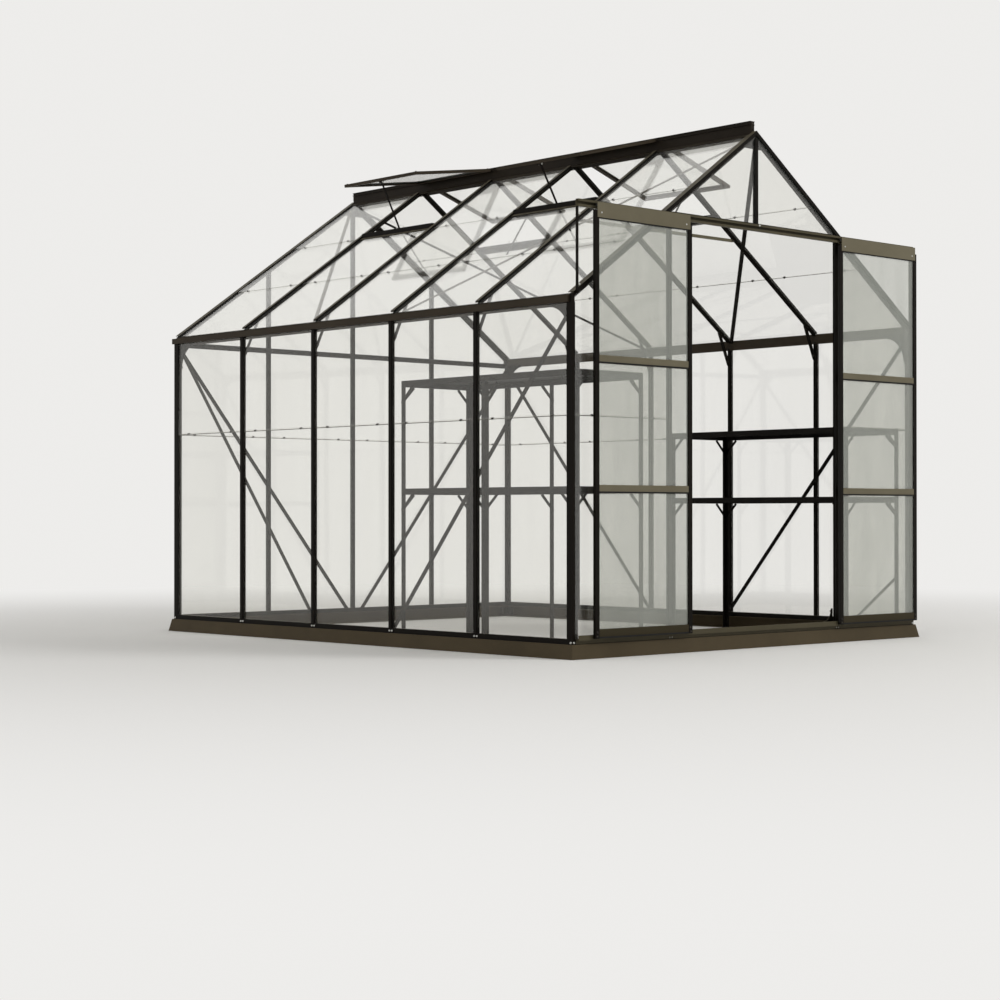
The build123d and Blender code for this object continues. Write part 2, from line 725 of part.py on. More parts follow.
def make_wall_glass():
    t = glass_thickness
    d = glass_depth
    lift = t + pane_clear
    lap = wall_lap_height - pane_lap
    foot = sill_top - rail_lip + running_gap
    head = gutter_bottom - running_gap
    lower = [(d, foot), (d + t, foot), (d + t, wall_lap_height), (d, wall_lap_height)]
    upper = [(d - lift, lap), (d - lift + t, lap), (d + t, head), (d, head)]
    tall = [(d - lift, lap), (d - lift + t, lap), (d + t, head), (d + t, apex_height), (d, apex_height),
            (d, head)]
    over_door = [(d, lintel_top + running_gap), (d + t, lintel_top + running_gap), (d + t, apex_height),
                 (d, apex_height)]
    for side, name in ((-1, "left"), (1, "right")):
        panes = []
        for gap in range(side_bays):
            for points in (lower, upper):
                panes.append(side_panes(points, side, gap))
        save("side_glass_" + name, panes)

    roof_space = under_roof(corner_box + pane_gap)
    inner = half_width - gutter_inner - running_gap
    for side in (-1, 1):
        roof_space -= block(side * inner, side * half_width, house_shift, big, head, big)
    stem_gap = stem_width / 2 + pane_gap
    corner_gap = corner_box + pane_gap
    for face, inward, name in ((front_y, 1, "front"), (back_y, -1, "back")):
        panes = []
        for index in range(gable_bays):
            left = (index - gable_bays / 2) * bay
            x0 = corner_gap - half_width if index == 0 else left + stem_gap
            x1 = half_width - corner_gap if index == gable_bays - 1 else left + bay - stem_gap
            shapes = (lower, tall)
            if name == "front" and abs(x0 + x1) < 2 * jamb_x:
                shapes = (over_door,)
            for points in shapes:
                pane = side_prism([(face + inward * v, z) for v, z in points], x0, x1)
                panes.append(pane & roof_space)
        save("gable_glass_" + name, panes)


def side_panes(points, side, gap):
    low, high = side_pane_ends(gap)
    return gable_prism([(side * (half_width - v), z) for v, z in points], low, high)


def make_track():
    low = track_bottom
    high = track_top
    t = track_wall
    d = track_depth
    reach = track_reach
    half_rib = track_rib_width / 2
    track = front_slab(0, t, low, high, -reach, reach)
    track += front_slab(0, d, low, low + t, -reach, reach)
    track += front_slab(0, d, high - t, high, -reach, reach)
    track += front_slab(d - t, d, low, low + track_lip, -reach, reach)
    track += front_slab(d - t, d, high - track_lip, high, -reach, reach)
    track += front_slab(d / 2 - half_rib, d / 2 + half_rib, low, wheel_axis - wheel_radius - running_gap,
                        -reach, reach)
    save("door_track", track)
    foot = roof_z(reach) - support_width
    supports = []
    for side in (-1, 1):
        outer = side * reach
        leg = front_slab(0, t, foot, low, outer, outer - side * support_width)
        leg += front_slab(0, support_width, foot, low, outer, outer - side * t)
        supports.append(leg)
    save("track_supports", supports)
    rail = front_slab(0, d, guide_bottom, guide_bottom + t, -reach, reach)
    rail += front_slab(d - t, d, guide_bottom, guide_top, -reach, reach)
    rail += front_slab(0, t, plinth_height + rail_wall, sill_top, -reach, reach)
    save("door_guide_rail", rail)


def make_door_stile(edge, turn, middle):
    # A hollow stile with a groove for the glass; turn points to the middle of the leaf
    t = door_wall
    stile = front_slab(leaf_back, leaf_front, sill_top, door_top, edge, edge + turn * stile_width)
    stile -= front_slab(leaf_back + t, leaf_front - t, sill_top, door_top,
                        edge + turn * t, edge + turn * (stile_width - stile_groove - t))
    stile -= front_slab(middle - door_glass - running_gap, middle + running_gap, sill_top, door_top,
                        edge + turn * (stile_width - stile_groove), edge + turn * stile_width)
    return stile


def make_door(name, left):
    right = left + door_width
    x0 = left + stile_width
    x1 = right - stile_width
    back = leaf_back
    front = leaf_front
    t = door_wall
    middle = front - rail_step_depth - t
    save(name + "_door_stiles", [make_door_stile(left, 1, middle), make_door_stile(right, -1, middle)])

    levels = [(door_top - drop - mid_rail_height, door_top - drop) for drop in mid_rail_drops]
    levels.append((sill_top, sill_top + foot_rail_height))
    levels.append((door_top - fascia_half_height, door_top))
    rails = []
    for low, high in levels:
        rail = front_slab(front - t, front, low + rail_step, high, x0, x1)
        rail += front_slab(back, front - t, low, low + t, x0, x1)
        rail += front_slab(back, front - t, high - t, high, x0, x1)
        rail += front_slab(middle, middle + t, low, high, x0, x1)
        rail += front_slab(middle + t, front, low + rail_step, low + rail_step + t, x0, x1)
        rails.append(rail)
    save(name + "_door_rails", rails)

    fascia_top = door_top + fascia_half_height
    inset = fascia_inset
    fascia = front_slab(front, front + fascia_thickness, door_top - fascia_half_height, fascia_top,
                        left + inset, right - inset)
    fascia += front_slab(front - 2 * fascia_thickness, front, fascia_top - fascia_thickness, fascia_top,
                         left + inset, right - inset)
    save(name + "_door_fascia", fascia)

    edges = sorted(levels)
    inset = stile_width - stile_groove + running_gap
    panes = []
    for (low0, high0), (low1, high1) in zip(edges, edges[1:]):
        panes.append(front_slab(middle - door_glass, middle, high0 + running_gap, low1 - running_gap,
                                left + inset, right - inset))
    save(name + "_door_glass", panes)

    wheel_mid = track_depth / 2
    axle_back = wheel_mid - wheel_width / 2
    pad_face = track_depth - track_wall - door_clearance
    pad_back = pad_face - guide_pad_thickness
    pad_low = guide_top + door_clearance
    pad_top = pad_low + guide_pad_thickness
    half_pad = guide_pad_width / 2
    runners = []
    for x in (left + wheel_inset, right - wheel_inset):
        lying = Rot(90, 0, 0)
        wheel = Pos(x, front_y - wheel_mid, wheel_axis) * lying * Cylinder(wheel_radius, wheel_width)
        axle = lying * Cylinder(axle_radius, front - axle_back)
        axle = Pos(x, front_y - (axle_back + front) / 2, wheel_axis) * axle
        runners.append(wheel + axle)
        pad = front_slab(pad_back, middle, pad_low, pad_top, x - half_pad, x + half_pad)
        pad += front_slab(pad_back, pad_face, guide_top - guide_pad_reach, pad_top,
                          x - half_pad, x + half_pad)
        runners.append(pad)
    save(name + "_door_runners", runners)


def staging_leg_frame(x, turn, y, along, tiers):
    # An angle with a small triangular bracket below each tray; turn and along point into the unit
    top = max(tiers) - tray_edge
    t = staging_wall
    leg = block(x, x + turn * staging_leg, y, y + along * t, 0, top)
    leg += block(x, x + turn * t, y, y + along * staging_leg, 0, top)
    size = staging_bracket
    for tier in tiers:
        high = tier - tray_edge
        corner = [(y, high), (y + along * size, high), (y, high - size)]
        leg += side_prism(corner, min(x, x + turn * t), max(x, x + turn * t))
        corner = [(x, high), (x + turn * size, high), (x, high - size)]
        leg += gable_prism(corner, min(y, y + along * t), max(y, y + along * t))
    return leg


def make_staging():
    frames = []
    shelves = []
    t = tray_thickness
    wall_face = half_width - plinth_depth - staging_setback
    front = front_y + corner_depth + staging_setback
    rear = frame_y(staging_first_frame) - bar_width / 2
    for side, tiers, middle_leg in ((-1, left_tiers, True), (1, right_tiers, False)):
        outer = side * wall_face
        inner = side * (wall_face - staging_depth)
        ends = [(front, 1), (rear, -1)]
        if middle_leg:
            ends.append((frame_y(staging_first_frame + 1), 1))
        legs = []
        for y, along in ends:
            for x, turn in ((outer, -side), (inner, side)):
                legs.append(staging_leg_frame(x, turn, y, along, tiers))
        for tier in tiers:
            tray = block(outer, inner, front, rear, tier - tray_edge, tier)
            tray -= block(outer - side * t, inner + side * t, front + t, rear - t, tier - tray_edge, tier - t)
            for leg in legs:
                tray -= leg
            shelves.append(tray)
        frames.extend(legs)
    save("staging_legs", frames)
    save("staging_shelves", shelves)


make_base()
make_wall_bars()
make_gable_bars()
make_gutters()
make_ridge()
make_rafters()
make_braces(make_plates())
make_vents()
make_roof_glass()
make_wall_glass()
make_track()
make_door("left", left_door_offset - half_width)
make_door("right", half_width - right_door_offset - door_width)
make_staging()
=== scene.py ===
import math
import bmesh
import bpy
from mathutils import Matrix, Vector


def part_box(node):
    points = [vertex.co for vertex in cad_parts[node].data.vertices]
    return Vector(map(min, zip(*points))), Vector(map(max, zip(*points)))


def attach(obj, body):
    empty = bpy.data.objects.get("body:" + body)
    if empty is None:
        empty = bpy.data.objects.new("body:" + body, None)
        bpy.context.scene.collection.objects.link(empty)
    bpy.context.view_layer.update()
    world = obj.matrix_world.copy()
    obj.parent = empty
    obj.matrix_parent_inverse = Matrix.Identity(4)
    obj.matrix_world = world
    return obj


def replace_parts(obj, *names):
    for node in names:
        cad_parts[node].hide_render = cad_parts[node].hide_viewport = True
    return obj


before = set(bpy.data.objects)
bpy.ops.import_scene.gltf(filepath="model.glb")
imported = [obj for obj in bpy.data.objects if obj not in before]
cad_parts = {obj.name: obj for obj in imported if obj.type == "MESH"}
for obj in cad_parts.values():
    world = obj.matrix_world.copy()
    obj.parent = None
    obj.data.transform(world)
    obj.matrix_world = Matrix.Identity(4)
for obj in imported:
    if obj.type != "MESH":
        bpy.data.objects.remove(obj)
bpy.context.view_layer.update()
print("stage: frame loaded,", len(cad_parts), "nodes")


# Numbers shared by the pieces, in metres. Depth runs inwards from a wall's or a slope's outer face.
house = {
    "bay": 0.620,
    "sideBays": 5,
    "barWidth": 0.022,
    "wideCap": 0.036,
    "narrowCap": 0.018,
    "barDepth": 0.020,
    "roofPitch": math.radians(34.85),
    "roofFoot": 1.631,
    "sillTop": 0.090,
    "gutterFoot": 1.592,
    "gutterInner": 0.0225,
    "wallLap": 1.095,
    "roofLaps": (0.550, 1.040),
    "lapCover": 0.010,
    "jambX": 0.620,
    "ventBays": (1, 3),
    "ventFalls": {(-1, 1): 8.0, (-1, 3): 13.9, (1, 1): 18.0, (1, 3): 18.5},
}
postLow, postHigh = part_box("corner_posts")
halfWidth = postHigh.x
frontY = postLow.y
backY = postHigh.y
middleY = (frontY + backY) / 2
slope = math.tan(house["roofPitch"])
slopeCos = math.cos(house["roofPitch"])
slopeSin = math.sin(house["roofPitch"])
apexZ = house["roofFoot"] + halfWidth * slope


def frameY(index):
    # place of a cross frame, counted from the rear gable
    return middleY + (house["sideBays"] / 2 - index) * house["bay"]


def roofPoint(side, down, y, depth):
    # down the slope from the apex, and below the roof surface
    x = down * slopeCos - depth * slopeSin
    return Vector((side * x, y, apexZ - down * slopeSin - depth * slopeCos))


def slopePoint(side, x, y, depth):
    # under a place x on the roof, at a depth measured square to the slope
    return Vector((side * x, y, apexZ - x * slope - depth / slopeCos))


# Materials

def linearColour(hexText):
    # sRGB hex to linear, with an alpha of 1
    values = [int(hexText[i:i + 2], 16) / 255 for i in (1, 3, 5)]
    return tuple(v / 12.92 if v <= 0.04045 else ((v + 0.055) / 1.055) ** 2.4 for v in values) + (1.0,)


def addNode(tree, kind, settings=None, values=None, links=None):
    # one node with its settings, its socket values and what feeds its sockets
    node = tree.nodes.new(kind)
    for name, value in (settings or {}).items():
        setattr(node, name, value)
    for name, value in (values or {}).items():
        node.inputs[name].default_value = value
    for name, source in (links or {}).items():
        tree.links.new(source, node.inputs[name])
    return node


def newMaterial(name):
    material = bpy.data.materials.new(name)
    material.use_nodes = True
    material.node_tree.nodes.clear()
    return material, material.node_tree


def objectCoordinates(tree, scale):
    place = addNode(tree, "ShaderNodeTexCoord").outputs["Object"]
    return addNode(tree, "ShaderNodeMapping", values={"Scale": scale}, links={"Vector": place}).outputs["Vector"]


def rampBetween(tree, source, low, high, lowColour, highColour):
    # colour between two hex values as source goes from low to high
    ramp = addNode(tree, "ShaderNodeValToRGB", links={"Fac": source})
    ramp.color_ramp.elements[0].position = low
    ramp.color_ramp.elements[0].color = linearColour(lowColour)
    ramp.color_ramp.elements[1].position = high
    ramp.color_ramp.elements[1].color = linearColour(highColour)
    return ramp.outputs["Color"]


def makePowderCoat(name, base, worn, roughness, dust, footTone="#ffffff"):
    # Polyester powder coat on extruded aluminium: satin, with a fine orange peel, a little dust on flat tops
    # and, where a foot tone is given, darker towards the bottom
    material, tree = newMaterial(name)
    cloud = addNode(tree, "ShaderNodeTexNoise", values={"Scale": 1.0, "Detail": 5.0, "Roughness": 0.6},
                    links={"Vector": objectCoordinates(tree, (3.0, 3.0, 3.0))}).outputs["Fac"]
    colour = rampBetween(tree, cloud, 0.35, 0.70, base, worn)
    place = addNode(tree, "ShaderNodeTexCoord").outputs["Object"]
    height = addNode(tree, "ShaderNodeSeparateXYZ", links={"Vector": place}).outputs["Z"]
    # the colour is multiplied darker towards the bottom, from the foot tone at 0.10 m to none at 0.75 m
    lowerDarkening = rampBetween(tree, height, 0.10, 0.75, footTone, "#ffffff")
    shaded = addNode(tree, "ShaderNodeMix", {"data_type": "RGBA", "blend_type": "MULTIPLY"},
                     values={"Factor": 1.0}, links={6: colour, 7: lowerDarkening}).outputs[2]
    normal = addNode(tree, "ShaderNodeNewGeometry").outputs["Normal"]
    upward = addNode(tree, "ShaderNodeSeparateXYZ", links={"Vector": normal}).outputs["Z"]
    speck = addNode(tree, "ShaderNodeTexNoise", values={"Scale": 1.0, "Detail": 6.0, "Roughness": 0.7},
                    links={"Vector": objectCoordinates(tree, (28.0, 28.0, 28.0))}).outputs["Fac"]
    settled = addNode(tree, "ShaderNodeMapRange",
                      values={"From Min": 0.45, "From Max": 1.0, "To Min": 0.0, "To Max": dust},
                      links={"Value": upward}).outputs["Result"]
    patchy = addNode(tree, "ShaderNodeMath", {"operation": "MULTIPLY", "use_clamp": True},
                     links={0: settled, 1: speck}).outputs["Value"]
    coated = addNode(tree, "ShaderNodeMix", {"data_type": "RGBA"}, links={"Factor": patchy, 6: shaded})
    coated.inputs[7].default_value = linearColour("#999079")
    gloss = addNode(tree, "ShaderNodeMapRange",
                    values={"From Min": 0.3, "From Max": 0.7, "To Min": roughness - 0.05, "To Max": roughness + 0.07},
                    links={"Value": cloud}).outputs["Result"]
    # orange peel of about 1.2 mm, coarser than the real 0.5 mm so that it shows
    peel = addNode(tree, "ShaderNodeTexNoise", values={"Scale": 1.0, "Detail": 2.0, "Roughness": 0.5},
                   links={"Vector": objectCoordinates(tree, (830.0, 830.0, 830.0))}).outputs["Fac"]
    bump = addNode(tree, "ShaderNodeBump", values={"Strength": 0.12, "Distance": 0.0002},
                   links={"Height": peel}).outputs["Normal"]
    shader = addNode(tree, "ShaderNodeBsdfPrincipled", values={"Specular IOR Level": 0.06},
                     links={"Base Color": coated.outputs[2], "Roughness": gloss, "Normal": bump})
    addNode(tree, "ShaderNodeOutputMaterial", links={"Surface": shader.outputs["BSDF"]})
    return material


def makeGlass(name, faceAxis, tint, haze, hazeColour, lowAngleMirror=0.9):
    # Float glass: clear, with dark cut edges, a mirror at low angles and a thin film of dust
    material, tree = newMaterial(name)
    layer = addNode(tree, "ShaderNodeLayerWeight", values={"Blend": 0.5}).outputs["Facing"]
    steep = addNode(tree, "ShaderNodeMath", {"operation": "POWER"}, values={1: 5.0},
                    links={0: layer}).outputs["Value"]
    mirror = addNode(tree, "ShaderNodeMapRange", values={"To Min": 0.040, "To Max": lowAngleMirror},
                     links={"Value": steep}).outputs["Result"]
    clear = addNode(tree, "ShaderNodeBsdfTransparent")
    clear.inputs["Color"].default_value = linearColour(tint)
    # streaks of dried rain, about 110 mm apart and far longer than wide
    drift = addNode(tree, "ShaderNodeTexNoise", values={"Scale": 1.0, "Detail": 4.0, "Roughness": 0.55},
                    links={"Vector": objectCoordinates(tree, (9.0, 9.0, 1.6))}).outputs["Fac"]
    film = addNode(tree, "ShaderNodeMapRange",
                   values={"From Min": 0.3, "From Max": 0.75, "To Min": haze * 0.85, "To Max": haze * 1.15},
                   links={"Value": drift}).outputs["Result"]
    waver = addNode(tree, "ShaderNodeTexNoise", values={"Scale": 1.0, "Detail": 1.0},
                    links={"Vector": objectCoordinates(tree, (2.2, 2.2, 2.2))}).outputs["Fac"]
    bump = addNode(tree, "ShaderNodeBump", values={"Strength": 0.2, "Distance": 0.002},
                   links={"Height": waver}).outputs["Normal"]
    shine = addNode(tree, "ShaderNodeBsdfPrincipled", values={"Metallic": 1.0, "Roughness": 0.03},
                    links={"Normal": bump})
    shine.inputs["Base Color"].default_value = linearColour("#fdfdfb")
    dusty = addNode(tree, "ShaderNodeBsdfPrincipled", values={"Roughness": 0.85, "Specular IOR Level": 0.2})
    dusty.inputs["Base Color"].default_value = linearColour(hazeColour)
    cutEdge = addNode(tree, "ShaderNodeBsdfPrincipled", values={"Roughness": 0.25})
    cutEdge.inputs["Base Color"].default_value = linearColour("#333d39")
    body = addNode(tree, "ShaderNodeMixShader", links={"Fac": film, 1: clear.outputs["BSDF"],
                                                      2: dusty.outputs["BSDF"]})
    pane = addNode(tree, "ShaderNodeMixShader", links={"Fac": mirror, 1: body.outputs["Shader"],
                                                      2: shine.outputs["BSDF"]})
    # the cut edges of a pane are told by the way they face
    normal = addNode(tree, "ShaderNodeTexCoord").outputs["Normal"]
    along = addNode(tree, "ShaderNodeVectorMath", {"operation": "DOT_PRODUCT"}, links={0: normal})
    along.inputs[1].default_value = faceAxis
    flat = addNode(tree, "ShaderNodeMath", {"operation": "ABSOLUTE"}, links={0: along.outputs["Value"]})
    isEdge = addNode(tree, "ShaderNodeMath", {"operation": "LESS_THAN"}, values={1: 0.5},
                     links={0: flat.outputs["Value"]}).outputs["Value"]
    whole = addNode(tree, "ShaderNodeMixShader", links={"Fac": isEdge, 1: pane.outputs["Shader"],
                                                       2: cutEdge.outputs["BSDF"]})
    addNode(tree, "ShaderNodeOutputMaterial", links={"Surface": whole.outputs["Shader"]})
    return material


def makeZincPlate(name):
    # Zinc-plated steel: bright, slightly blotched by the plating bath
    material, tree = newMaterial(name)
    blotch = addNode(tree, "ShaderNodeTexNoise", values={"Scale": 1.0, "Detail": 3.0},
                     links={"Vector": objectCoordinates(tree, (350.0, 350.0, 350.0))}).outputs["Fac"]
    colour = rampBetween(tree, blotch, 0.3, 0.7, "#b9bbb8", "#dcdcd6")
    gloss = addNode(tree, "ShaderNodeMapRange", values={"To Min": 0.22, "To Max": 0.42},
                    links={"Value": blotch}).outputs["Result"]
    shader = addNode(tree, "ShaderNodeBsdfPrincipled", values={"Metallic": 1.0},
                     links={"Base Color": colour, "Roughness": gloss})
    addNode(tree, "ShaderNodeOutputMaterial", links={"Surface": shader.outputs["BSDF"]})
    return material


def makeDullSteel(name):
    # Screws and nuts that are coated with the frame: dark, worn to grey on their corners
    material, tree = newMaterial(name)
    rub = addNode(tree, "ShaderNodeTexNoise", values={"Scale": 1.0, "Detail": 4.0},
                  links={"Vector": objectCoordinates(tree, (220.0, 220.0, 220.0))}).outputs["Fac"]
    colour = rampBetween(tree, rub, 0.42, 0.75, "#1b1815", "#5c564d")
    gloss = addNode(tree, "ShaderNodeMapRange", values={"To Min": 0.35, "To Max": 0.6},
                    links={"Value": rub}).outputs["Result"]
    shader = addNode(tree, "ShaderNodeBsdfPrincipled", values={"Metallic": 0.35, "Specular IOR Level": 0.3},
                     links={"Base Color": colour, "Roughness": gloss})
    addNode(tree, "ShaderNodeOutputMaterial", links={"Surface": shader.outputs["BSDF"]})
    return material


def makeSilt(name):
    # Dust and algae that rain washes into the laps of the glass
    material, tree = newMaterial(name)
    streak = addNode(tree, "ShaderNodeTexNoise", values={"Scale": 1.0, "Detail": 4.0, "Roughness": 0.65},
                     links={"Vector": objectCoordinates(tree, (18.0, 18.0, 18.0))}).outputs["Fac"]
    colour = rampBetween(tree, streak, 0.35, 0.68, "#37342a", "#6b675a")
    shader = addNode(tree, "ShaderNodeBsdfPrincipled", values={"Roughness": 0.92, "Specular IOR Level": 0.1},
                     links={"Base Color": colour})
    addNode(tree, "ShaderNodeOutputMaterial", links={"Surface": shader.outputs["BSDF"]})
    return material


def makeRubber(name, dark, light):
    # Extruded rubber seal: matt, with a bloom that dulls it in patches
    material, tree = newMaterial(name)
    bloom = addNode(tree, "ShaderNodeTexNoise", values={"Scale": 1.0, "Detail": 4.0},
                    links={"Vector": objectCoordinates(tree, (40.0, 40.0, 40.0))}).outputs["Fac"]
    colour = rampBetween(tree, bloom, 0.35, 0.75, dark, light)
    gloss = addNode(tree, "ShaderNodeMapRange", values={"To Min": 0.6, "To Max": 0.8},
                    links={"Value": bloom}).outputs["Result"]
    shader = addNode(tree, "ShaderNodeBsdfPrincipled", values={"Specular IOR Level": 0.3},
                     links={"Base Color": colour, "Roughness": gloss})
    addNode(tree, "ShaderNodeOutputMaterial", links={"Surface": shader.outputs["BSDF"]})
    return material


darkCoat = makePowderCoat("powderCoatBrownBlack", "#100d09", "#16120d", 0.42, 0.85)
# The gutter, plinth, door rail, track and ridge have the same dark brown coat as the frame. These lighter coats are
# painted sunlight that stands for the sun on the faces it falls on.
sunlitGutterCoat = makePowderCoat("powderCoatGutterPaintedSunlight", "#383128", "#413a30", 0.42, 0.20)
sunlitPlinthCoat = makePowderCoat("powderCoatPlinthPaintedSunlight", "#4a4131", "#544a39", 0.48, 0.25)
sunlitRailCoat = makePowderCoat("powderCoatDoorRailPaintedSunlight", "#676150", "#716b59", 0.46, 0.20, "#8b8578")
sunlitTrackCoat = makePowderCoat("powderCoatTrackPaintedSunlight", "#4a4536", "#544e3e", 0.44, 0.20)
sunlitRidgeCoat = makePowderCoat("powderCoatRidgePaintedSunlight", "#241f19", "#2e2821", 0.42, 0.15)
stagingCoat = makePowderCoat("powderCoatSheetSteelBlack", "#12100d", "#1a1714", 0.38, 0.12)
zincPlate = makeZincPlate("zincPlatedSteel")
coatedSteel = makeDullSteel("coatedSteelFastener")
lapDust = makeSilt("siltInGlassLap")
sealRubber = makeRubber("extrudedSealRubber", "#100f0e", "#191816")
padRubber = makeRubber("mouldedFootRubber", "#171614", "#24221f")
brushPile = makeRubber("wovenPileBrush", "#1d1c1a", "#2e2c29")
wheelNylon = makeRubber("mouldedNylon", "#4a4946", "#5c5b57")
clearTint = "#fefefd"
wallGlassSide = makeGlass("floatGlassSide", (1.0, 0.0, 0.0), clearTint, 0.040, "#cdc8bd")
wallGlassGable = makeGlass("floatGlassGable", (0.0, 1.0, 0.0), clearTint, 0.035, "#e0ded8")
roofGlass = makeGlass("floatGlassRoof", (0.0, 0.0, 1.0), clearTint, 0.040, "#f8f6f2", 0.95)
ventGlass = makeGlass("floatGlassVent", (0.0, 0.0, 1.0), clearTint, 0.060, "#e4e2dd", 0.25)
# the door panes' thick grey haze is partly a film of dust and partly painted sky reflection that turns them milky
doorGlass = makeGlass("doorGlassDustAndPaintedSkyReflection", (0.0, 1.0, 0.0), "#f9f9f7", 0.320, "#b2b5ad")

nodeFinish = {
    "base_frame": sunlitPlinthCoat, "door_guide_rail": sunlitTrackCoat, "ridge_beam": sunlitRidgeCoat, "door_track": sunlitTrackCoat,
    "eave_gutter_left": sunlitGutterCoat, "eave_gutter_right": sunlitGutterCoat, "vent_lids": sunlitGutterCoat,
    "side_glass_left": wallGlassSide, "side_glass_right": wallGlassSide,
    "gable_glass_front": wallGlassGable, "gable_glass_back": wallGlassGable,
    "roof_glass_left": roofGlass, "roof_glass_right": roofGlass, "vent_glass": ventGlass,
    "left_door_glass": doorGlass, "right_door_glass": doorGlass,
    "left_door_rails": sunlitRailCoat, "right_door_rails": sunlitRailCoat,
    "left_door_fascia": sunlitRailCoat, "right_door_fascia": sunlitRailCoat,
    "left_door_runners": wheelNylon, "right_door_runners": wheelNylon,
    "staging_legs": stagingCoat, "staging_shelves": stagingCoat,
}
for name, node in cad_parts.items():
    node.data.materials.clear()
    node.data.materials.append(nodeFinish.get(name, darkCoat))
print("stage: materials on the frame")


# Pieces


def finishPiece(name, shape, material, body="house"):
    # the shape becomes an object with its material, on its body
    bmesh.ops.recalc_face_normals(shape, faces=shape.faces)
    mesh = bpy.data.meshes.new(name)
    shape.to_mesh(mesh)
    shape.free()
    piece = bpy.data.objects.new(name, mesh)
    bpy.context.scene.collection.objects.link(piece)
    mesh.materials.append(material)
    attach(piece, body)
    return piece


def drawOut(shape, ring, way):
    # a closed solid from a ring of points that is drawn out along way
    face = shape.faces.new([shape.verts.new(point) for point in ring])
    drawn = bmesh.ops.extrude_face_region(shape, geom=[face])["geom"]
    bmesh.ops.translate(shape, vec=way, verts=[part for part in drawn if isinstance(part, bmesh.types.BMVert)])


def addStrip(shape, outline, start, end, up):
    # a straight strip: its outline goes across and up, and is drawn out from start to end
    start, end = Vector(start), Vector(end)
    along = (end - start).normalized()
    across = along.cross(Vector(up)).normalized()
    rise = across.cross(along)
    drawOut(shape, [start + across * u + rise * v for u, v in outline], end - start)


def addAngle(shape, corner, turnX, turnY, reach, gauge, low, high):
    # an upright angle: its two flanges run from the corner along x and y
    outline = [(0, 0), (reach, 0), (reach, gauge), (gauge, gauge), (gauge, reach), (0, reach)]
    drawOut(shape, [(corner[0] + turnX * u, corner[1] + turnY * v, low) for u, v in outline], (0, 0, high - low))


def turnTo(direction):
    # rotation that takes +Z to a direction
    return Vector((0, 0, 1)).rotation_difference(Vector(direction)).to_matrix().to_4x4()


panHead = {"radius": 0.0058, "height": 0.0034, "topShare": 0.62, "rimShare": 0.25, "recessShare": 0.45,
           "sunkRecessShare": 0.6, "sides": 14}
hexNut = {"across": 0.010, "height": 0.0048, "studRadius": 0.0029, "studLength": 0.0075, "washerRadius": 0.0075,
          "washerHeight": 0.0011}


def addPanHead(shape, place, direction, sink=0.0):
    # tapered screw head with a round recess, let into the sheet by sink
    radius, height = panHead["radius"], panHead["height"]
    made = bmesh.ops.create_cone(shape, cap_ends=True, segments=panHead["sides"], radius1=radius,
                                 radius2=radius * panHead["topShare"], depth=height)["verts"]
    top = [f for v in made for f in v.link_faces if f.normal.z > 0.9 and f.calc_center_median().z > 0]
    top = list(set(top))
    inner = bmesh.ops.inset_region(shape, faces=top, thickness=radius * panHead["rimShare"], use_even_offset=True)
    depth = height * panHead["recessShare"] if sink == 0 else (height - sink) * panHead["sunkRecessShare"]
    bmesh.ops.translate(shape, vec=(0, 0, -depth), verts=list(top[0].verts))
    verts = list({v for f in inner["faces"] for v in f.verts} | set(made))
    turn = Matrix.Translation(place) @ turnTo(direction) @ Matrix.Translation((0, 0, height / 2 - sink))
    bmesh.ops.transform(shape, matrix=turn, verts=verts)


def addNut(shape, place, direction, spin=0.0):
    # hexagon nut on a washer, with the end of its screw
    stack = (
        (12, hexNut["washerRadius"], hexNut["washerHeight"], 0.0),
        (6, hexNut["across"] / 2 / math.cos(math.pi / 6), hexNut["height"], hexNut["washerHeight"]),
        (10, hexNut["studRadius"], hexNut["studLength"], hexNut["washerHeight"]),
    )
    for segments, radius, height, lift in stack:
        made = bmesh.ops.create_cone(shape, cap_ends=True, segments=segments, radius1=radius, radius2=radius,
                                     depth=height)["verts"]
        turn = (Matrix.Translation(place) @ turnTo(direction) @ Matrix.Rotation(spin, 4, "Z")
                @ Matrix.Translation((0, 0, lift + height / 2)))
        bmesh.ops.transform(shape, matrix=turn, verts=made)


def addFastening(shape, kind, places, direction):
    # a row of heads or nuts, with each nut turned a little differently
    for place in places:
        if kind == "head":
            addPanHead(shape, Vector(place), direction)
        else:
            addNut(shape, Vector(place), direction, spin=(place[0] * 7.0 + place[1] * 5.0) % 1.0)


barFrames = [frameY(index) for index in range(1, house["sideBays"])]
insideX = halfWidth - house["barDepth"]
plateThickness = 0.003
braces = {
    "headZ": house["gutterFoot"] - 0.036,
    "inset": 0.017,
    "rearFoot": 0.060,
    "kneeReach": 0.078,
    "kneeDrop": 0.090,
    "crossbarZ": 1.587,
}
sideFastening = {
    "barShift": 0.009, "barZ": 0.078, "cornerInset": 0.010, "cornerZ": 0.074, "legDrop": 0.0065,
    "strapInset": 0.036, "strapParts": (0.095, 0.51, 0.985),
    "plateInset": 0.030, "plateEdge": 0.0065, "plateTop": 1.5855,
    "plateHeights": (1.462, 1.520, 1.576), "plateShifts": (0.050, 0.090, 0.130),
}


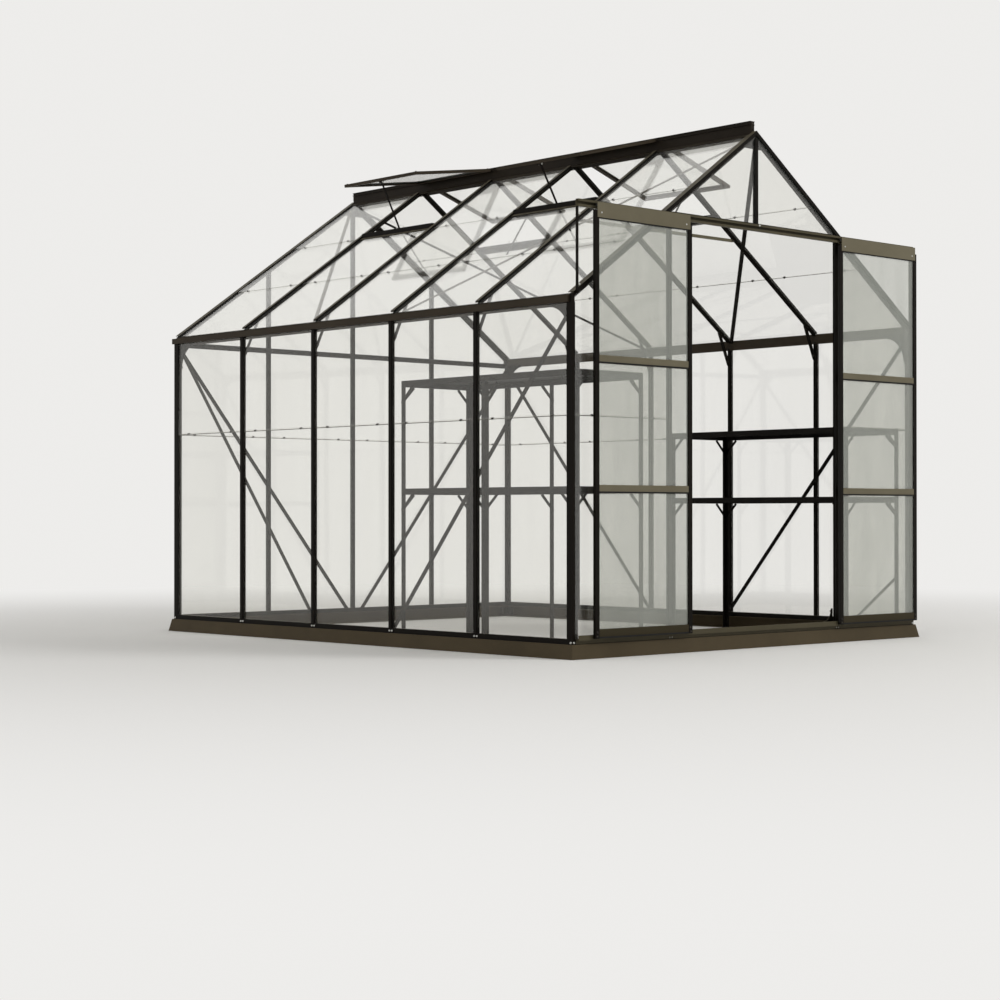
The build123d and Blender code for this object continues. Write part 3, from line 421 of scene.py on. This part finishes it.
def sideScrews():
    # heads at the corners and under each bar, then nuts along the gutter, the knees and the wall straps
    at = sideFastening
    heads = bmesh.new()
    nuts = bmesh.new()
    for side in (-1, 1):
        outward = (side, 0, 0)
        inward = (-side, 0, 0)
        low = [(side * halfWidth, y + turn * at["barShift"], at["barZ"]) for y in barFrames for turn in (-1, 1)]
        low += [(side * halfWidth, frontY + at["cornerInset"], at["cornerZ"]),
                (side * halfWidth, backY - at["cornerInset"], at["cornerZ"])]
        addFastening(heads, "head", low, outward)
        leg = [(side * (halfWidth - house["gutterInner"]), y, house["gutterFoot"] - at["legDrop"]) for y in barFrames]
        addFastening(nuts, "nut", leg, inward)
        # the knee braces, one at each cross frame
        foot = Vector((side * insideX, 0, house["gutterFoot"] - braces["kneeDrop"]))
        head = slopePoint(side, insideX - braces["kneeReach"], 0, house["barDepth"])
        along = (head - foot).normalized()
        face = Vector((0, 1, 0)).cross(along).normalized()
        if face.x * side > 0:
            face = -face
        for y in barFrames:
            for spot in (foot + along * braces["inset"], head - along * braces["inset"]):
                addNut(nuts, spot + Vector((0, y, 0)) + face * plateThickness, face)
        # the long straps, where they start, cross a bar and end
        x = side * (insideX - plateThickness)
        for start, end in ((frontY + at["strapInset"], frameY(3)), (backY - at["strapInset"], frameY(2))):
            for part in at["strapParts"]:
                y = start + (end - start) * part
                z = braces["headZ"] + (house["sillTop"] - braces["headZ"]) * part
                addNut(nuts, Vector((x, y, z)), inward)
        # the curved plates at the eaves
        for corner, turn in ((frontY + at["plateInset"], 1), (backY - at["plateInset"], -1)):
            spots = [(corner + turn * at["plateEdge"], z) for z in at["plateHeights"]]
            spots += [(corner + turn * shift, at["plateTop"]) for shift in at["plateShifts"]]
            addFastening(nuts, "nut", [(x, y, z) for y, z in spots], inward)
    finishPiece("sideWallScrews", heads, zincPlate)
    finishPiece("sideWallNuts", nuts, coatedSteel)


gableFastening = {
    "cornerInset": 0.010, "screwZ": 0.074, "jambShift": 0.008,
    "apexNuts": ((0.0, 2.434), (0.0, 2.456), (-0.045, 2.432), (0.045, 2.432)),
    "jambHalf": 0.011, "plateEdge": 0.0065, "plateFoot": 0.0965,
    "plateHeights": (0.122, 0.156), "plateShifts": (0.034, 0.066),
    "lintelX": 0.590, "lintelZ": 2.041,
    "supportX": 1.232, "supportY": -1.57925, "supportHeights": (1.670, 1.985),
    "crossbarNuts": (-1.216, -0.620, 0.620, 1.216), "crossbarReach": 0.017,
    "strapInset": 0.030, "strapParts": (0.030, 0.522, 0.988),
    "trackReach": 0.018, "trackZ": 2.0460,
}


def gableScrews():
    # heads along the sills, the track's ends and its middle, then nuts on the plates, the crossbar and the straps
    at = gableFastening
    heads = bmesh.new()
    nuts = bmesh.new()
    for y, outward in ((frontY, (0, -1, 0)), (backY, (0, 1, 0))):
        inward = (0, -outward[1], 0)
        inside = y + inward[1] * (house["barDepth"] + plateThickness)
        low = [(side * (halfWidth - at["cornerInset"]), y, at["screwZ"]) for side in (-1, 1)]
        low += [(side * house["jambX"] + turn * at["jambShift"], y, at["screwZ"])
                for side in (-1, 1) for turn in (-1, 1)]
        addFastening(heads, "head", low, outward)
        # the plate under the apex
        addFastening(nuts, "nut", [(x, inside, z) for x, z in at["apexNuts"]], inward)
    # the curved plates at the feet of the door jambs
    inside = frontY + house["barDepth"] + plateThickness
    lip = house["jambX"] - at["jambHalf"]
    for side in (-1, 1):
        spots = [(side * (lip - at["plateEdge"]), z) for z in at["plateHeights"]]
        spots += [(side * (lip - shift), at["plateFoot"]) for shift in at["plateShifts"]]
        addFastening(nuts, "nut", [(x, inside, z) for x, z in spots], (0, 1, 0))
        addFastening(nuts, "nut", [(side * at["lintelX"], inside - plateThickness, at["lintelZ"])], (0, 1, 0))
        addFastening(heads, "head", [(side * at["supportX"], at["supportY"], z) for z in at["supportHeights"]],
                     (0, -1, 0))
    # the rear crossbar and the straps below it
    back = backY - house["barDepth"] - plateThickness
    addFastening(nuts, "nut", [(x, back - at["crossbarReach"], braces["crossbarZ"]) for x in at["crossbarNuts"]],
                 (0, -1, 0))
    for side in (-1, 1):
        head = Vector((side * (halfWidth - at["strapInset"]), back, braces["headZ"]))
        foot = Vector((side * braces["rearFoot"], back, house["sillTop"]))
        for part in at["strapParts"]:
            addNut(nuts, head.lerp(foot, part), (0, -1, 0))
    # the clip in the middle of the door track
    addPanHead(heads, Vector((0.0, frontY - at["trackReach"], at["trackZ"])), (0, -1, 0))
    finishPiece("gableScrews", heads, zincPlate)
    finishPiece("gableNuts", nuts, coatedSteel)


roofStrap = {"head": 0.06, "foot": 0.035}
ventFrame = {"hingeX": 0.0158, "hingeZ": 2.54825, "near": 0.0235, "far": 0.548, "half": 0.294, "top": 0.008,
             "pinLow": 0.012, "sillX": 0.42937, "sillTop": 2.2155}


def roofNuts():
    # under the slopes, where the wind straps cross the rafters, and on the vents' frames
    nuts = bmesh.new()
    heads = bmesh.new()
    for side in (-1, 1):
        down = Vector((-side * slopeSin, 0, -slopeCos))
        for start, end, crossed in ((frontY, frameY(3), frameY(4)), (backY, frameY(2), frameY(1))):
            for y in (start + (end - start) * roofStrap["head"], crossed, end - (end - start) * roofStrap["foot"]):
                x = halfWidth * (y - start) / (end - start)
                addNut(nuts, slopePoint(side, x, y, house["barDepth"] + plateThickness), down)
        for gap in house["ventBays"]:
            fall = math.radians(house["ventFalls"][(side, gap)])
            middle = (frameY(gap) + frameY(gap + 1)) / 2
            outward = Vector((side * math.sin(fall), 0, math.cos(fall)))
            slide = Vector((side * math.cos(fall), 0, -math.sin(fall)))
            for reach in (ventFrame["near"], ventFrame["far"]):
                for turn in (-1, 1):
                    y = middle + turn * ventFrame["half"]
                    hinge = Vector((side * ventFrame["hingeX"], y, ventFrame["hingeZ"]))
                    addPanHead(heads, hinge + slide * reach + outward * ventFrame["top"], outward)
    finishPiece("roofStrapNuts", nuts, coatedSteel)
    finishPiece("ventFrameScrews", heads, coatedSteel)


ventStay = {"thickness": 0.003, "holes": 6, "firstHole": 0.080, "holePitch": 0.034, "holeRadius": 0.0032,
            "holeFoot": 0.0028, "holeDepth": 0.0005, "clear": 0.0003, "sunk": 0.0001, "pinReach": 0.012,
            "pegRadius": 0.0028, "pegTip": 0.0022, "pegLength": 0.014, "pegBack": 0.006, "pegShift": 0.030}


def ventStayParts():
    # a row of dark holes in each casement stay, the pins at its head, and the peg on the sill that it drops over
    holes = bmesh.new()
    pegs = bmesh.new()
    for (side, gap), fall in house["ventFalls"].items():
        lean = math.radians(fall)
        y = (frameY(gap) + frameY(gap + 1)) / 2
        far, pinLow = ventFrame["far"], ventFrame["pinLow"]
        pin = Vector((ventFrame["hingeX"] + far * math.cos(lean) - pinLow * math.sin(lean), y,
                      ventFrame["hingeZ"] - far * math.sin(lean) - pinLow * math.cos(lean)))
        peg = Vector((ventFrame["sillX"], y, ventFrame["sillTop"]))
        along = (peg - pin).normalized()
        upper = Vector((along.z, 0, -along.x))
        for point in (pin, peg, along, upper):
            point.x *= side
        lift = ventStay["clear"] + ventStay["thickness"]
        for index in range(ventStay["holes"]):
            spot = pin + along * (ventStay["firstHole"] + index * ventStay["holePitch"])
            for face, height in ((upper, lift), (-upper, -ventStay["clear"])):
                made = bmesh.ops.create_cone(holes, cap_ends=True, segments=12, radius1=ventStay["holeRadius"],
                                             radius2=ventStay["holeFoot"], depth=ventStay["holeDepth"])["verts"]
                place = Matrix.Translation(spot + upper * height + face * ventStay["sunk"]) @ turnTo(face)
                bmesh.ops.transform(holes, matrix=place, verts=made)
        for turn in (-1, 1):
            addPanHead(pegs, pin + Vector((0, turn * ventStay["pinReach"], 0)), (0, turn, 0))
            made = bmesh.ops.create_cone(pegs, cap_ends=True, segments=12, radius1=ventStay["pegRadius"],
                                         radius2=ventStay["pegTip"], depth=ventStay["pegLength"])["verts"]
            offset = Vector((-side * ventStay["pegBack"], turn * ventStay["pegShift"], ventStay["pegLength"] / 2))
            bmesh.ops.transform(pegs, matrix=Matrix.Translation(peg + offset), verts=made)
    finishPiece("ventStayHoles", holes, sealRubber)
    finishPiece("ventStayPins", pegs, zincPlate)


glazingSeal = {
    "halfWidth": 0.0014, "edge": 0.0016, "outer": -0.0021, "inner": -0.0069,
    "eaveGap": 0.001, "ridgeX": 0.034, "sillLip": 0.018, "gableHead": 0.040, "gableFoot": 0.030,
    "gableBars": ((-0.620, 0.108, 2.030), (0.620, 0.108, 2.030), (0.0, 0.108, 2.440)), "overLintel": 2.059,
}


def sealOutline(shift=0.0):
    # rubber strip between a cap and a pane, rounded on the side that shows
    h = glazingSeal["halfWidth"]
    top, foot = glazingSeal["outer"], glazingSeal["inner"]
    points = [(-h, top), (h * 0.5, top), (h, top - h * 0.7), (h, foot + h * 0.7), (h * 0.5, foot), (-h, foot)]
    return [(shift + u, v) for u, v in points] if shift >= 0 else [(shift - u, v) for u, v in reversed(points)]


def glazingSeals():
    # along each side of every bar, between its caps and the panes
    offset = house["barWidth"] / 2 - glazingSeal["edge"]
    walls = bmesh.new()
    slopes = bmesh.new()
    top = house["gutterFoot"] - glazingSeal["eaveGap"]
    ridgeDown = glazingSeal["ridgeX"] / slopeCos
    eaveDown = (halfWidth - house["gutterInner"]) / slopeCos
    for side in (-1, 1):
        outward = (side, 0, 0)
        roofUp = (side * slopeSin, 0, slopeCos)
        for y in barFrames:
            for shift in (-offset, offset):
                addStrip(walls, sealOutline(shift), (side * halfWidth, y, house["sillTop"]),
                         (side * halfWidth, y, top), outward)
                addStrip(slopes, sealOutline(shift), roofPoint(side, ridgeDown, y, 0),
                         roofPoint(side, eaveDown, y, 0), roofUp)
        for y, turn in ((frontY, 1), (backY, -1)):
            wide = y + turn * (house["wideCap"] - glazingSeal["edge"])
            narrow = house["narrowCap"] - glazingSeal["edge"]
            addStrip(walls, sealOutline(), (side * halfWidth, wide, house["sillTop"]), (side * halfWidth, wide, top),
                     outward)
            addStrip(slopes, sealOutline(), roofPoint(side, ridgeDown, wide, 0), roofPoint(side, eaveDown, wide, 0),
                     roofUp)
            x = side * (halfWidth - narrow)
            addStrip(walls, sealOutline(), (x, y, house["sillTop"] + glazingSeal["sillLip"]), (x, y, top),
                     (0, -turn, 0))
            addStrip(walls, sealOutline(), slopePoint(side, glazingSeal["gableHead"], y, narrow),
                     slopePoint(side, halfWidth - glazingSeal["gableFoot"], y, narrow), (0, -turn, 0))
    for y, turn in ((frontY, 1), (backY, -1)):
        for x, low, high in glazingSeal["gableBars"]:
            if turn > 0 and x == 0.0:
                low = glazingSeal["overLintel"]
            for shift in (-offset, offset):
                addStrip(walls, sealOutline(shift), (x, y, low), (x, y, high), (0, -turn, 0))
    finishPiece("wallGlazingSeals", walls, sealRubber)
    finishPiece("roofGlazingSeals", slopes, sealRubber)


collarTie = {"frame": 4, "height": 2.088, "half": 0.572, "web": 0.015, "gauge": 0.003, "lip": 0.012,
             "screwInset": 0.012}


def collarTieParts():
    # folded strip across the house below the front vents, from rafter to rafter
    tie = bmesh.new()
    heads = bmesh.new()
    y, z, half = frameY(collarTie["frame"]), collarTie["height"], collarTie["half"]
    w, g, lip = collarTie["web"] / 2, collarTie["gauge"], collarTie["lip"]
    outline = [(0, -w), (0, w), (-g, w), (-g, g - w), (-lip, g - w), (-lip, -w)]
    addStrip(tie, outline, (-half, y, z), (half, y, z), (0, 0, 1))
    for side in (-1, 1):
        addPanHead(heads, Vector((side * (half - collarTie["screwInset"]), y, z)), (0, -1, 0))
    finishPiece("collarTie", tie, sunlitRailCoat)
    finishPiece("collarTieScrews", heads, coatedSteel)


lapClip = {"width": 0.010, "gauge": 0.0007, "tab": 0.009, "inset": 0.110, "upperFace": -0.0025,
           "lowerFace": -0.0070, "lowerBack": -0.0110}


def addLapClip(shape, place, up, outward):
    # bent strip that hangs the foot of an upper pane on the head of the lower one
    up, outward = Vector(up), Vector(outward)
    along = up.cross(outward) * (lapClip["width"] / 2)
    g, tab, cover = lapClip["gauge"], lapClip["tab"], house["lapCover"]
    face, middle, back = lapClip["upperFace"], lapClip["lowerFace"], lapClip["lowerBack"]
    hook = [(middle, -g), (face + g, -g), (face + g, tab - g), (face, tab - g), (face, 0), (middle, 0)]
    hang = [(middle, cover + g), (back - g, cover + g), (back - g, cover - tab), (back, cover - tab),
            (back, cover), (middle, cover)]
    for outline in (hook, hang):
        addStrip(shape, outline, place - along, place + along, up)


lapSilt = {"near": -0.0069, "far": -0.0066, "low": 0.0005, "high": 0.0040, "length": 0.613}
gableLaps = (0.930, 0.310)  # middles of the gable's lapped panes


def addLapSilt(shape, middle, up, outward):
    # film of silt between the two panes, along the foot of the upper one
    up, outward = Vector(up), Vector(outward)
    along = up.cross(outward) * (lapSilt["length"] / 2)
    near, far, low, high = (lapSilt[key] for key in ("near", "far", "low", "high"))
    addStrip(shape, [(near, low), (far, low), (far, high), (near, high)], middle - along, middle + along, up)


def lapClips():
    # two clips and a line of silt at every lap of the walls, the slopes and the gables
    clips = bmesh.new()
    silt = bmesh.new()
    foot = house["wallLap"] - house["lapCover"]
    reach = house["bay"] / 2 - lapClip["inset"]
    for side in (-1, 1):
        roofUp = Vector((side * slopeSin, 0, slopeCos))
        upSlope = Vector((-side * slopeCos, 0, slopeSin))
        for gap in range(house["sideBays"]):
            middle = (frameY(gap) + frameY(gap + 1)) / 2
            laps = house["roofLaps"][1:] if gap in house["ventBays"] else house["roofLaps"]
            addLapSilt(silt, Vector((side * halfWidth, middle, foot)), (0, 0, 1), (side, 0, 0))
            for lap in laps:
                addLapSilt(silt, roofPoint(side, lap + house["lapCover"], middle, 0), upSlope, roofUp)
            for y in (middle - reach, middle + reach):
                addLapClip(clips, Vector((side * halfWidth, y, foot)), (0, 0, 1), (side, 0, 0))
                for lap in laps:
                    addLapClip(clips, roofPoint(side, lap + house["lapCover"], y, 0), upSlope, roofUp)
        for y, outward in ((frontY, -1), (backY, 1)):
            for middle in gableLaps:
                if outward < 0 and middle < house["jambX"]:
                    continue
                addLapSilt(silt, Vector((side * middle, y, foot)), (0, 0, 1), (0, outward, 0))
                for x in (middle - reach, middle + reach):
                    addLapClip(clips, Vector((side * x, y, foot)), (0, 0, 1), (0, outward, 0))
    finishPiece("lapClips", clips, coatedSteel)
    finishPiece("lapSilt", silt, lapDust)


leafScrews = {"inset": 0.040, "height": 1.998, "sink": 0.0028, "footInset": 0.013, "footHeights": (0.100, 0.118)}
leafBrush = {
    "low": 0.114, "high": 2.004,
    "outline": ((-0.0045, 0), (0.0045, 0), (0.0045, 0.0012), (0.0022, 0.0012), (0.0012, 0.0040),
                (-0.0012, 0.0040), (-0.0022, 0.0012), (-0.0045, 0.0012)),
}
meetingStop = {
    "low": 0.100, "high": 2.000,
    "outline": ((-0.0050, 0), (0.0050, 0), (0.0040, 0.0012), (0.0018, 0.0020), (-0.0018, 0.0020), (-0.0040, 0.0012)),
}
leafShadeStrip = {"recess": 0.003, "depth": 0.0026, "low": 0.0005, "high": 0.0075, "overhang": 0.006, "stile": 0.026,
              "topRail": 0.034, "midRails": (0.687, 1.269)}


def doorParts():
    # screws of each leaf, dark strips of painted shade in the recesses under its rails, its pile brushes against the
    # wall and the rubber stop on its meeting edge
    for name, turn in (("left", 1), ("right", -1)):
        low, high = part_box(name + "_door_stiles")
        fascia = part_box(name + "_door_fascia")[0]
        screws = bmesh.new()
        bolts = bmesh.new()
        brushes = bmesh.new()
        for x in (low.x + leafScrews["inset"], high.x - leafScrews["inset"]):
            addPanHead(screws, Vector((x, fascia.y, leafScrews["height"])), (0, -1, 0), leafScrews["sink"])
        for x in (low.x + leafScrews["footInset"], high.x - leafScrews["footInset"]):
            for z in leafScrews["footHeights"]:
                addPanHead(bolts, Vector((x, low.y, z)), (0, -1, 0))
            addStrip(brushes, leafBrush["outline"], (x, high.y, leafBrush["low"]), (x, high.y, leafBrush["high"]),
                     (0, 1, 0))
        edge = high.x if turn > 0 else low.x
        middle = (low.y + high.y) / 2
        stop = bmesh.new()
        addStrip(stop, meetingStop["outline"], (edge, middle, meetingStop["low"]),
                 (edge, middle, meetingStop["high"]), (turn, 0, 0))
        # dark strips with the rubber finish in the recess under each rail: painted shade, because the recess shows
        # dark only through its shadow
        railLow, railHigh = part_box(name + "_door_rails")
        shadeStrips = bmesh.new()
        y = railLow.y + leafShadeStrip["recess"]
        depth, foot, head = leafShadeStrip["depth"], leafShadeStrip["low"], leafShadeStrip["high"]
        runs = [(railHigh.z - leafShadeStrip["topRail"], leafShadeStrip["overhang"])]
        runs += [(railHigh.z - drop, 0) for drop in leafShadeStrip["midRails"]]
        for base, lip in runs + [(railLow.z, 0)]:
            outline = [(0, foot - lip), (depth, foot - lip), (depth, head), (0, head)]
            addStrip(shadeStrips, outline, (low.x + leafShadeStrip["stile"], y, base),
                     (high.x - leafShadeStrip["stile"], y, base), (0, 0, 1))
        body = name + "_door"
        finishPiece(name + "DoorPaintedShadeStrips", shadeStrips, sealRubber, body)
        finishPiece(name + "DoorScrews", screws, zincPlate, body)
        finishPiece(name + "DoorFootScrews", bolts, coatedSteel, body)
        finishPiece(name + "DoorBrushes", brushes, brushPile, body)
        finishPiece(name + "DoorMeetingStop", stop, sealRubber, body)


ridgeEnd = {"half": 0.0125, "lip": 0.0170, "lipHeight": 0.0025, "thickness": 0.0016, "topGap": 0.0003,
            "footRise": 0.004, "lowScrew": 0.009, "highScrew": 0.011}


def ridgeEndPlates():
    # a plate over each open end of the ridge, held by two screws
    low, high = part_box("ridge_beam")
    plates = bmesh.new()
    heads = bmesh.new()
    half, lip, thick = ridgeEnd["half"], ridgeEnd["lip"], ridgeEnd["thickness"]
    top = high.z - ridgeEnd["topGap"]
    foot = apexZ + ridgeEnd["footRise"]
    neck = top - ridgeEnd["lipHeight"]
    outline = [(-half, foot), (half, foot), (half, neck), (lip, neck), (lip, top), (-lip, top), (-lip, neck),
               (-half, neck)]
    for y, turn in ((low.y, -1), (high.y, 1)):
        addStrip(plates, outline, (0, y, 0), (0, y + turn * thick, 0), (0, 0, 1))
        for z in (foot + ridgeEnd["lowScrew"], top - ridgeEnd["highScrew"]):
            addPanHead(heads, Vector((0, y + turn * thick, z)), (0, turn, 0))
    finishPiece("ridgeEndPlates", plates, sunlitRidgeCoat)
    finishPiece("ridgeEndScrews", heads, coatedSteel)


plinthAngle = {"reach": 0.060, "gauge": 0.003, "low": 0.010, "high": 0.056, "inset": 0.0405,
               "nutHeights": (0.022, 0.044), "nutReach": 0.040}


def plinthAngles():
    # steel angles bolted inside the corners of the base frame
    angles = bmesh.new()
    nuts = bmesh.new()
    reach, gauge, out = plinthAngle["reach"], plinthAngle["gauge"], plinthAngle["nutReach"]
    for side in (-1, 1):
        for y, turn in ((frontY, 1), (backY, -1)):
            cornerX = side * (halfWidth - plinthAngle["inset"])
            cornerY = y + turn * plinthAngle["inset"]
            addAngle(angles, (cornerX, cornerY), -side, turn, reach, gauge, plinthAngle["low"], plinthAngle["high"])
            for z in plinthAngle["nutHeights"]:
                addNut(nuts, Vector((cornerX - side * gauge, cornerY + turn * out, z)), (-side, 0, 0))
                addNut(nuts, Vector((cornerX - side * out, cornerY + turn * gauge, z)), (0, turn, 0))
    finishPiece("plinthCornerAngles", angles, stagingCoat)
    finishPiece("plinthCornerNuts", nuts, coatedSteel)


staging = {
    "left": {"side": -1, "tiers": (1.300, 0.772), "middleLeg": True},
    "right": {"side": 1, "tiers": (1.094, 0.736), "middleLeg": False},
    "outer": 1.202,
    "inner": 0.752,
    "tray": 0.030,
    "leg": 0.025,
    "sheet": 0.0025,
    "bracket": {"reach": 0.080, "width": 0.014, "start": 0.001},
    "screwDrops": (0.014, 0.044, 0.104),
    "screwInset": 0.012,
    "pad": {"width": 0.031, "height": 0.008, "round": 0.002},
    "strap": {"start": (0.7645, 0.0706), "end": (1.1895, 0.3198), "width": 0.016, "gauge": 0.0025,
              "screws": (0.02, 0.98)},
}


def addStagingLeg(shape, x, turn, y, along, tiers):
    # a folded angle with an open diagonal bracket on each flange below each tray
    sheet, bracket = staging["sheet"], staging["bracket"]
    addAngle(shape, (x, y), turn, along, staging["leg"], sheet, 0.0, max(tiers) - staging["tray"])
    w = bracket["width"] / 2
    outline = [(-w, 0), (w, 0), (w, sheet), (-w, sheet)]
    for tier in tiers:
        top = tier - staging["tray"]
        low = top - bracket["reach"]
        near, far = bracket["start"], bracket["reach"]
        addStrip(shape, outline, (x, y + along * near, low), (x, y + along * far, top - near), (turn, 0, 0))
        addStrip(shape, outline, (x + turn * near, y, low), (x + turn * far, y, top - near), (0, along, 0))


def stagingParts():
    # leg frames, screws and feet of both units, and the strap of the right one
    inset, pad = staging["screwInset"], staging["pad"]
    heads = bmesh.new()
    feet = bmesh.new()
    legs = bmesh.new()
    low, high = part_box("staging_shelves")
    for unit in (staging["left"], staging["right"]):
        side = unit["side"]
        rows = [(low.y, 1), (high.y, -1)]
        if unit["middleLeg"]:
            rows.append((frameY(4), 1))
        for y, along in rows:
            for x, turn in ((side * staging["outer"], side), (side * staging["inner"], -side)):
                addStagingLeg(legs, x, -turn, y, along, unit["tiers"])
                for tier in unit["tiers"]:
                    for drop in staging["screwDrops"]:
                        addPanHead(heads, Vector((x, y + along * inset, tier - drop)), (turn, 0, 0))
                        if y == low.y or y == high.y:
                            addPanHead(heads, Vector((x - turn * inset, y, tier - drop)), (0, -along, 0))
                # moulded pad under the leg
                block = bmesh.ops.create_cube(feet, size=1.0)["verts"]
                middle = staging["leg"] / 2
                place = Matrix.Translation((x - turn * middle, y + along * middle, pad["height"] / 2))
                size = Matrix.Diagonal((pad["width"], pad["width"], pad["height"], 1.0))
                bmesh.ops.transform(feet, matrix=place @ size, verts=block)
                rim = list({e for v in block for e in v.link_edges})
                bmesh.ops.bevel(feet, geom=rim, offset=pad["round"], offset_type="OFFSET", segments=2, profile=0.5,
                                affect="EDGES", material=-1)
    # the strap across the front legs of the right unit
    strap = staging["strap"]
    straps = bmesh.new()
    start = Vector((strap["start"][0], low.y, strap["start"][1]))
    end = Vector((strap["end"][0], low.y, strap["end"][1]))
    w, g = strap["width"] / 2, strap["gauge"]
    addStrip(straps, [(-w, 0), (w, 0), (w, g), (-w, g)], start, end, (0, -1, 0))
    for part in strap["screws"]:
        addPanHead(heads, start.lerp(end, part) + Vector((0, -g, 0)), (0, -1, 0))
    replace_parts(finishPiece("stagingLegFrames", legs, stagingCoat), "staging_legs")
    finishPiece("stagingStrap", straps, stagingCoat)
    finishPiece("stagingScrews", heads, coatedSteel)
    finishPiece("stagingFeet", feet, padRubber)


collarTieParts()
print("stage: collar tie")
sideScrews()
gableScrews()
roofNuts()
print("stage: screws and nuts")
ventStayParts()
ridgeEndPlates()
plinthAngles()
print("stage: vents, ridge and plinth")
glazingSeals()
lapClips()
print("stage: seals and lap clips")
doorParts()
stagingParts()
print("stage: doors and staging")


# Floor, camera and light

stage = {"floorSize": 160.0, "floorColour": "#f0efec", "sky": "#f3f2f0", "fadeFrom": 1.6, "fadeTo": 8.0,
         "skySeen": 0.95, "skyLight": 0.60, "glassLayers": 32}
floorShape = bmesh.new()
bmesh.ops.create_grid(floorShape, x_segments=1, y_segments=1, size=stage["floorSize"] / 2)
floorMesh = bpy.data.meshes.new("studioFloor")
floorShape.to_mesh(floorMesh)
floorShape.free()
floor = bpy.data.objects.new("studioFloor", floorMesh)
bpy.context.scene.collection.objects.link(floor)
floorMaterial, floorTree = newMaterial("paintedStudioFloor")
floorPaint = addNode(floorTree, "ShaderNodeBsdfPrincipled", values={"Roughness": 0.9, "Specular IOR Level": 0.1})
floorPaint.inputs["Base Color"].default_value = linearColour(stage["floorColour"])


def seenDirectly(tree):
    # 1 for rays from the camera and for those in gloss and glass
    path = addNode(tree, "ShaderNodeLightPath")
    both = addNode(tree, "ShaderNodeMath", {"operation": "MAXIMUM"},
                   links={0: path.outputs["Is Camera Ray"], 1: path.outputs["Is Glossy Ray"]}).outputs["Value"]
    return addNode(tree, "ShaderNodeMath", {"operation": "MAXIMUM"},
                   links={0: both, 1: path.outputs["Is Transmission Ray"]}).outputs["Value"]


# far from the house the floor takes the backdrop's colour, so that no horizon shows
farLight = addNode(floorTree, "ShaderNodeMapRange", values={"To Min": stage["skyLight"], "To Max": stage["skySeen"]},
                   links={"Value": seenDirectly(floorTree)}).outputs["Result"]
farFloor = addNode(floorTree, "ShaderNodeEmission", links={"Strength": farLight})
farFloor.inputs["Color"].default_value = linearColour(stage["sky"])
floorPlace = addNode(floorTree, "ShaderNodeTexCoord").outputs["Object"]
away = addNode(floorTree, "ShaderNodeVectorMath", {"operation": "LENGTH"}, links={0: floorPlace}).outputs["Value"]
fade = addNode(floorTree, "ShaderNodeMapRange", {"interpolation_type": "SMOOTHSTEP"},
               values={"From Min": stage["fadeFrom"], "From Max": stage["fadeTo"]}, links={"Value": away})
floorSurface = addNode(floorTree, "ShaderNodeMixShader",
                       links={"Fac": fade.outputs["Result"], 1: floorPaint.outputs["BSDF"],
                              2: farFloor.outputs["Emission"]})
addNode(floorTree, "ShaderNodeOutputMaterial", links={"Surface": floorSurface.outputs["Shader"]})
floorMesh.materials.append(floorMaterial)

view = {
    "place": (-7.7228, -8.09675, 0.6446),
    "yaw": math.radians(42.6794),
    "pitch": math.radians(0.4038),
    "roll": math.radians(0.0206),
    "lens": 74.46,
    "clipEnd": 200.0,
}
cameraData = bpy.data.cameras.new("camera")
cameraData.lens = view["lens"]
cameraData.clip_end = view["clipEnd"]
camera = bpy.data.objects.new("camera", cameraData)
bpy.context.scene.collection.objects.link(camera)
camera.location = view["place"]
camera.rotation_euler = (math.pi / 2 + view["pitch"], view["roll"], -view["yaw"])
bpy.context.scene.camera = camera

world = bpy.data.worlds.new("studio")
bpy.context.scene.world = world
world.use_nodes = True
world.node_tree.nodes.clear()
strength = addNode(world.node_tree, "ShaderNodeMapRange",
                   values={"To Min": stage["skyLight"], "To Max": stage["skySeen"]},
                   links={"Value": seenDirectly(world.node_tree)})
backdrop = addNode(world.node_tree, "ShaderNodeBackground", links={"Strength": strength.outputs["Result"]})
backdrop.inputs["Color"].default_value = linearColour(stage["sky"])
addNode(world.node_tree, "ShaderNodeOutputWorld", links={"Surface": backdrop.outputs["Background"]})

lamps = {
    "keyLamp": {"place": (4.5, -9.0, 7.5), "aim": (0.0, 0.0, 1.0), "size": 4.0, "power": 480.0},
    "fillLamp": {"place": (-9.0, -2.0, 6.0), "aim": (0.0, 0.0, 1.2), "size": 5.0, "power": 60.0},
}
for name, setting in lamps.items():
    lampData = bpy.data.lights.new(name, "AREA")
    lampData.shape = "DISK"
    lampData.size = setting["size"]
    lampData.energy = setting["power"]
    lamp = bpy.data.objects.new(name, lampData)
    bpy.context.scene.collection.objects.link(lamp)
    lamp.location = setting["place"]
    aim = Vector(setting["aim"]) - Vector(setting["place"])
    lamp.rotation_euler = aim.to_track_quat("-Z", "Y").to_euler()
    lamp.visible_glossy = False  # the panes mirror the backdrop, not the lamp
print("stage: floor, camera and light")

scene = bpy.context.scene
scene.view_settings.view_transform = "Standard"
scene.cycles.transparent_max_bounces = stage["glassLayers"]
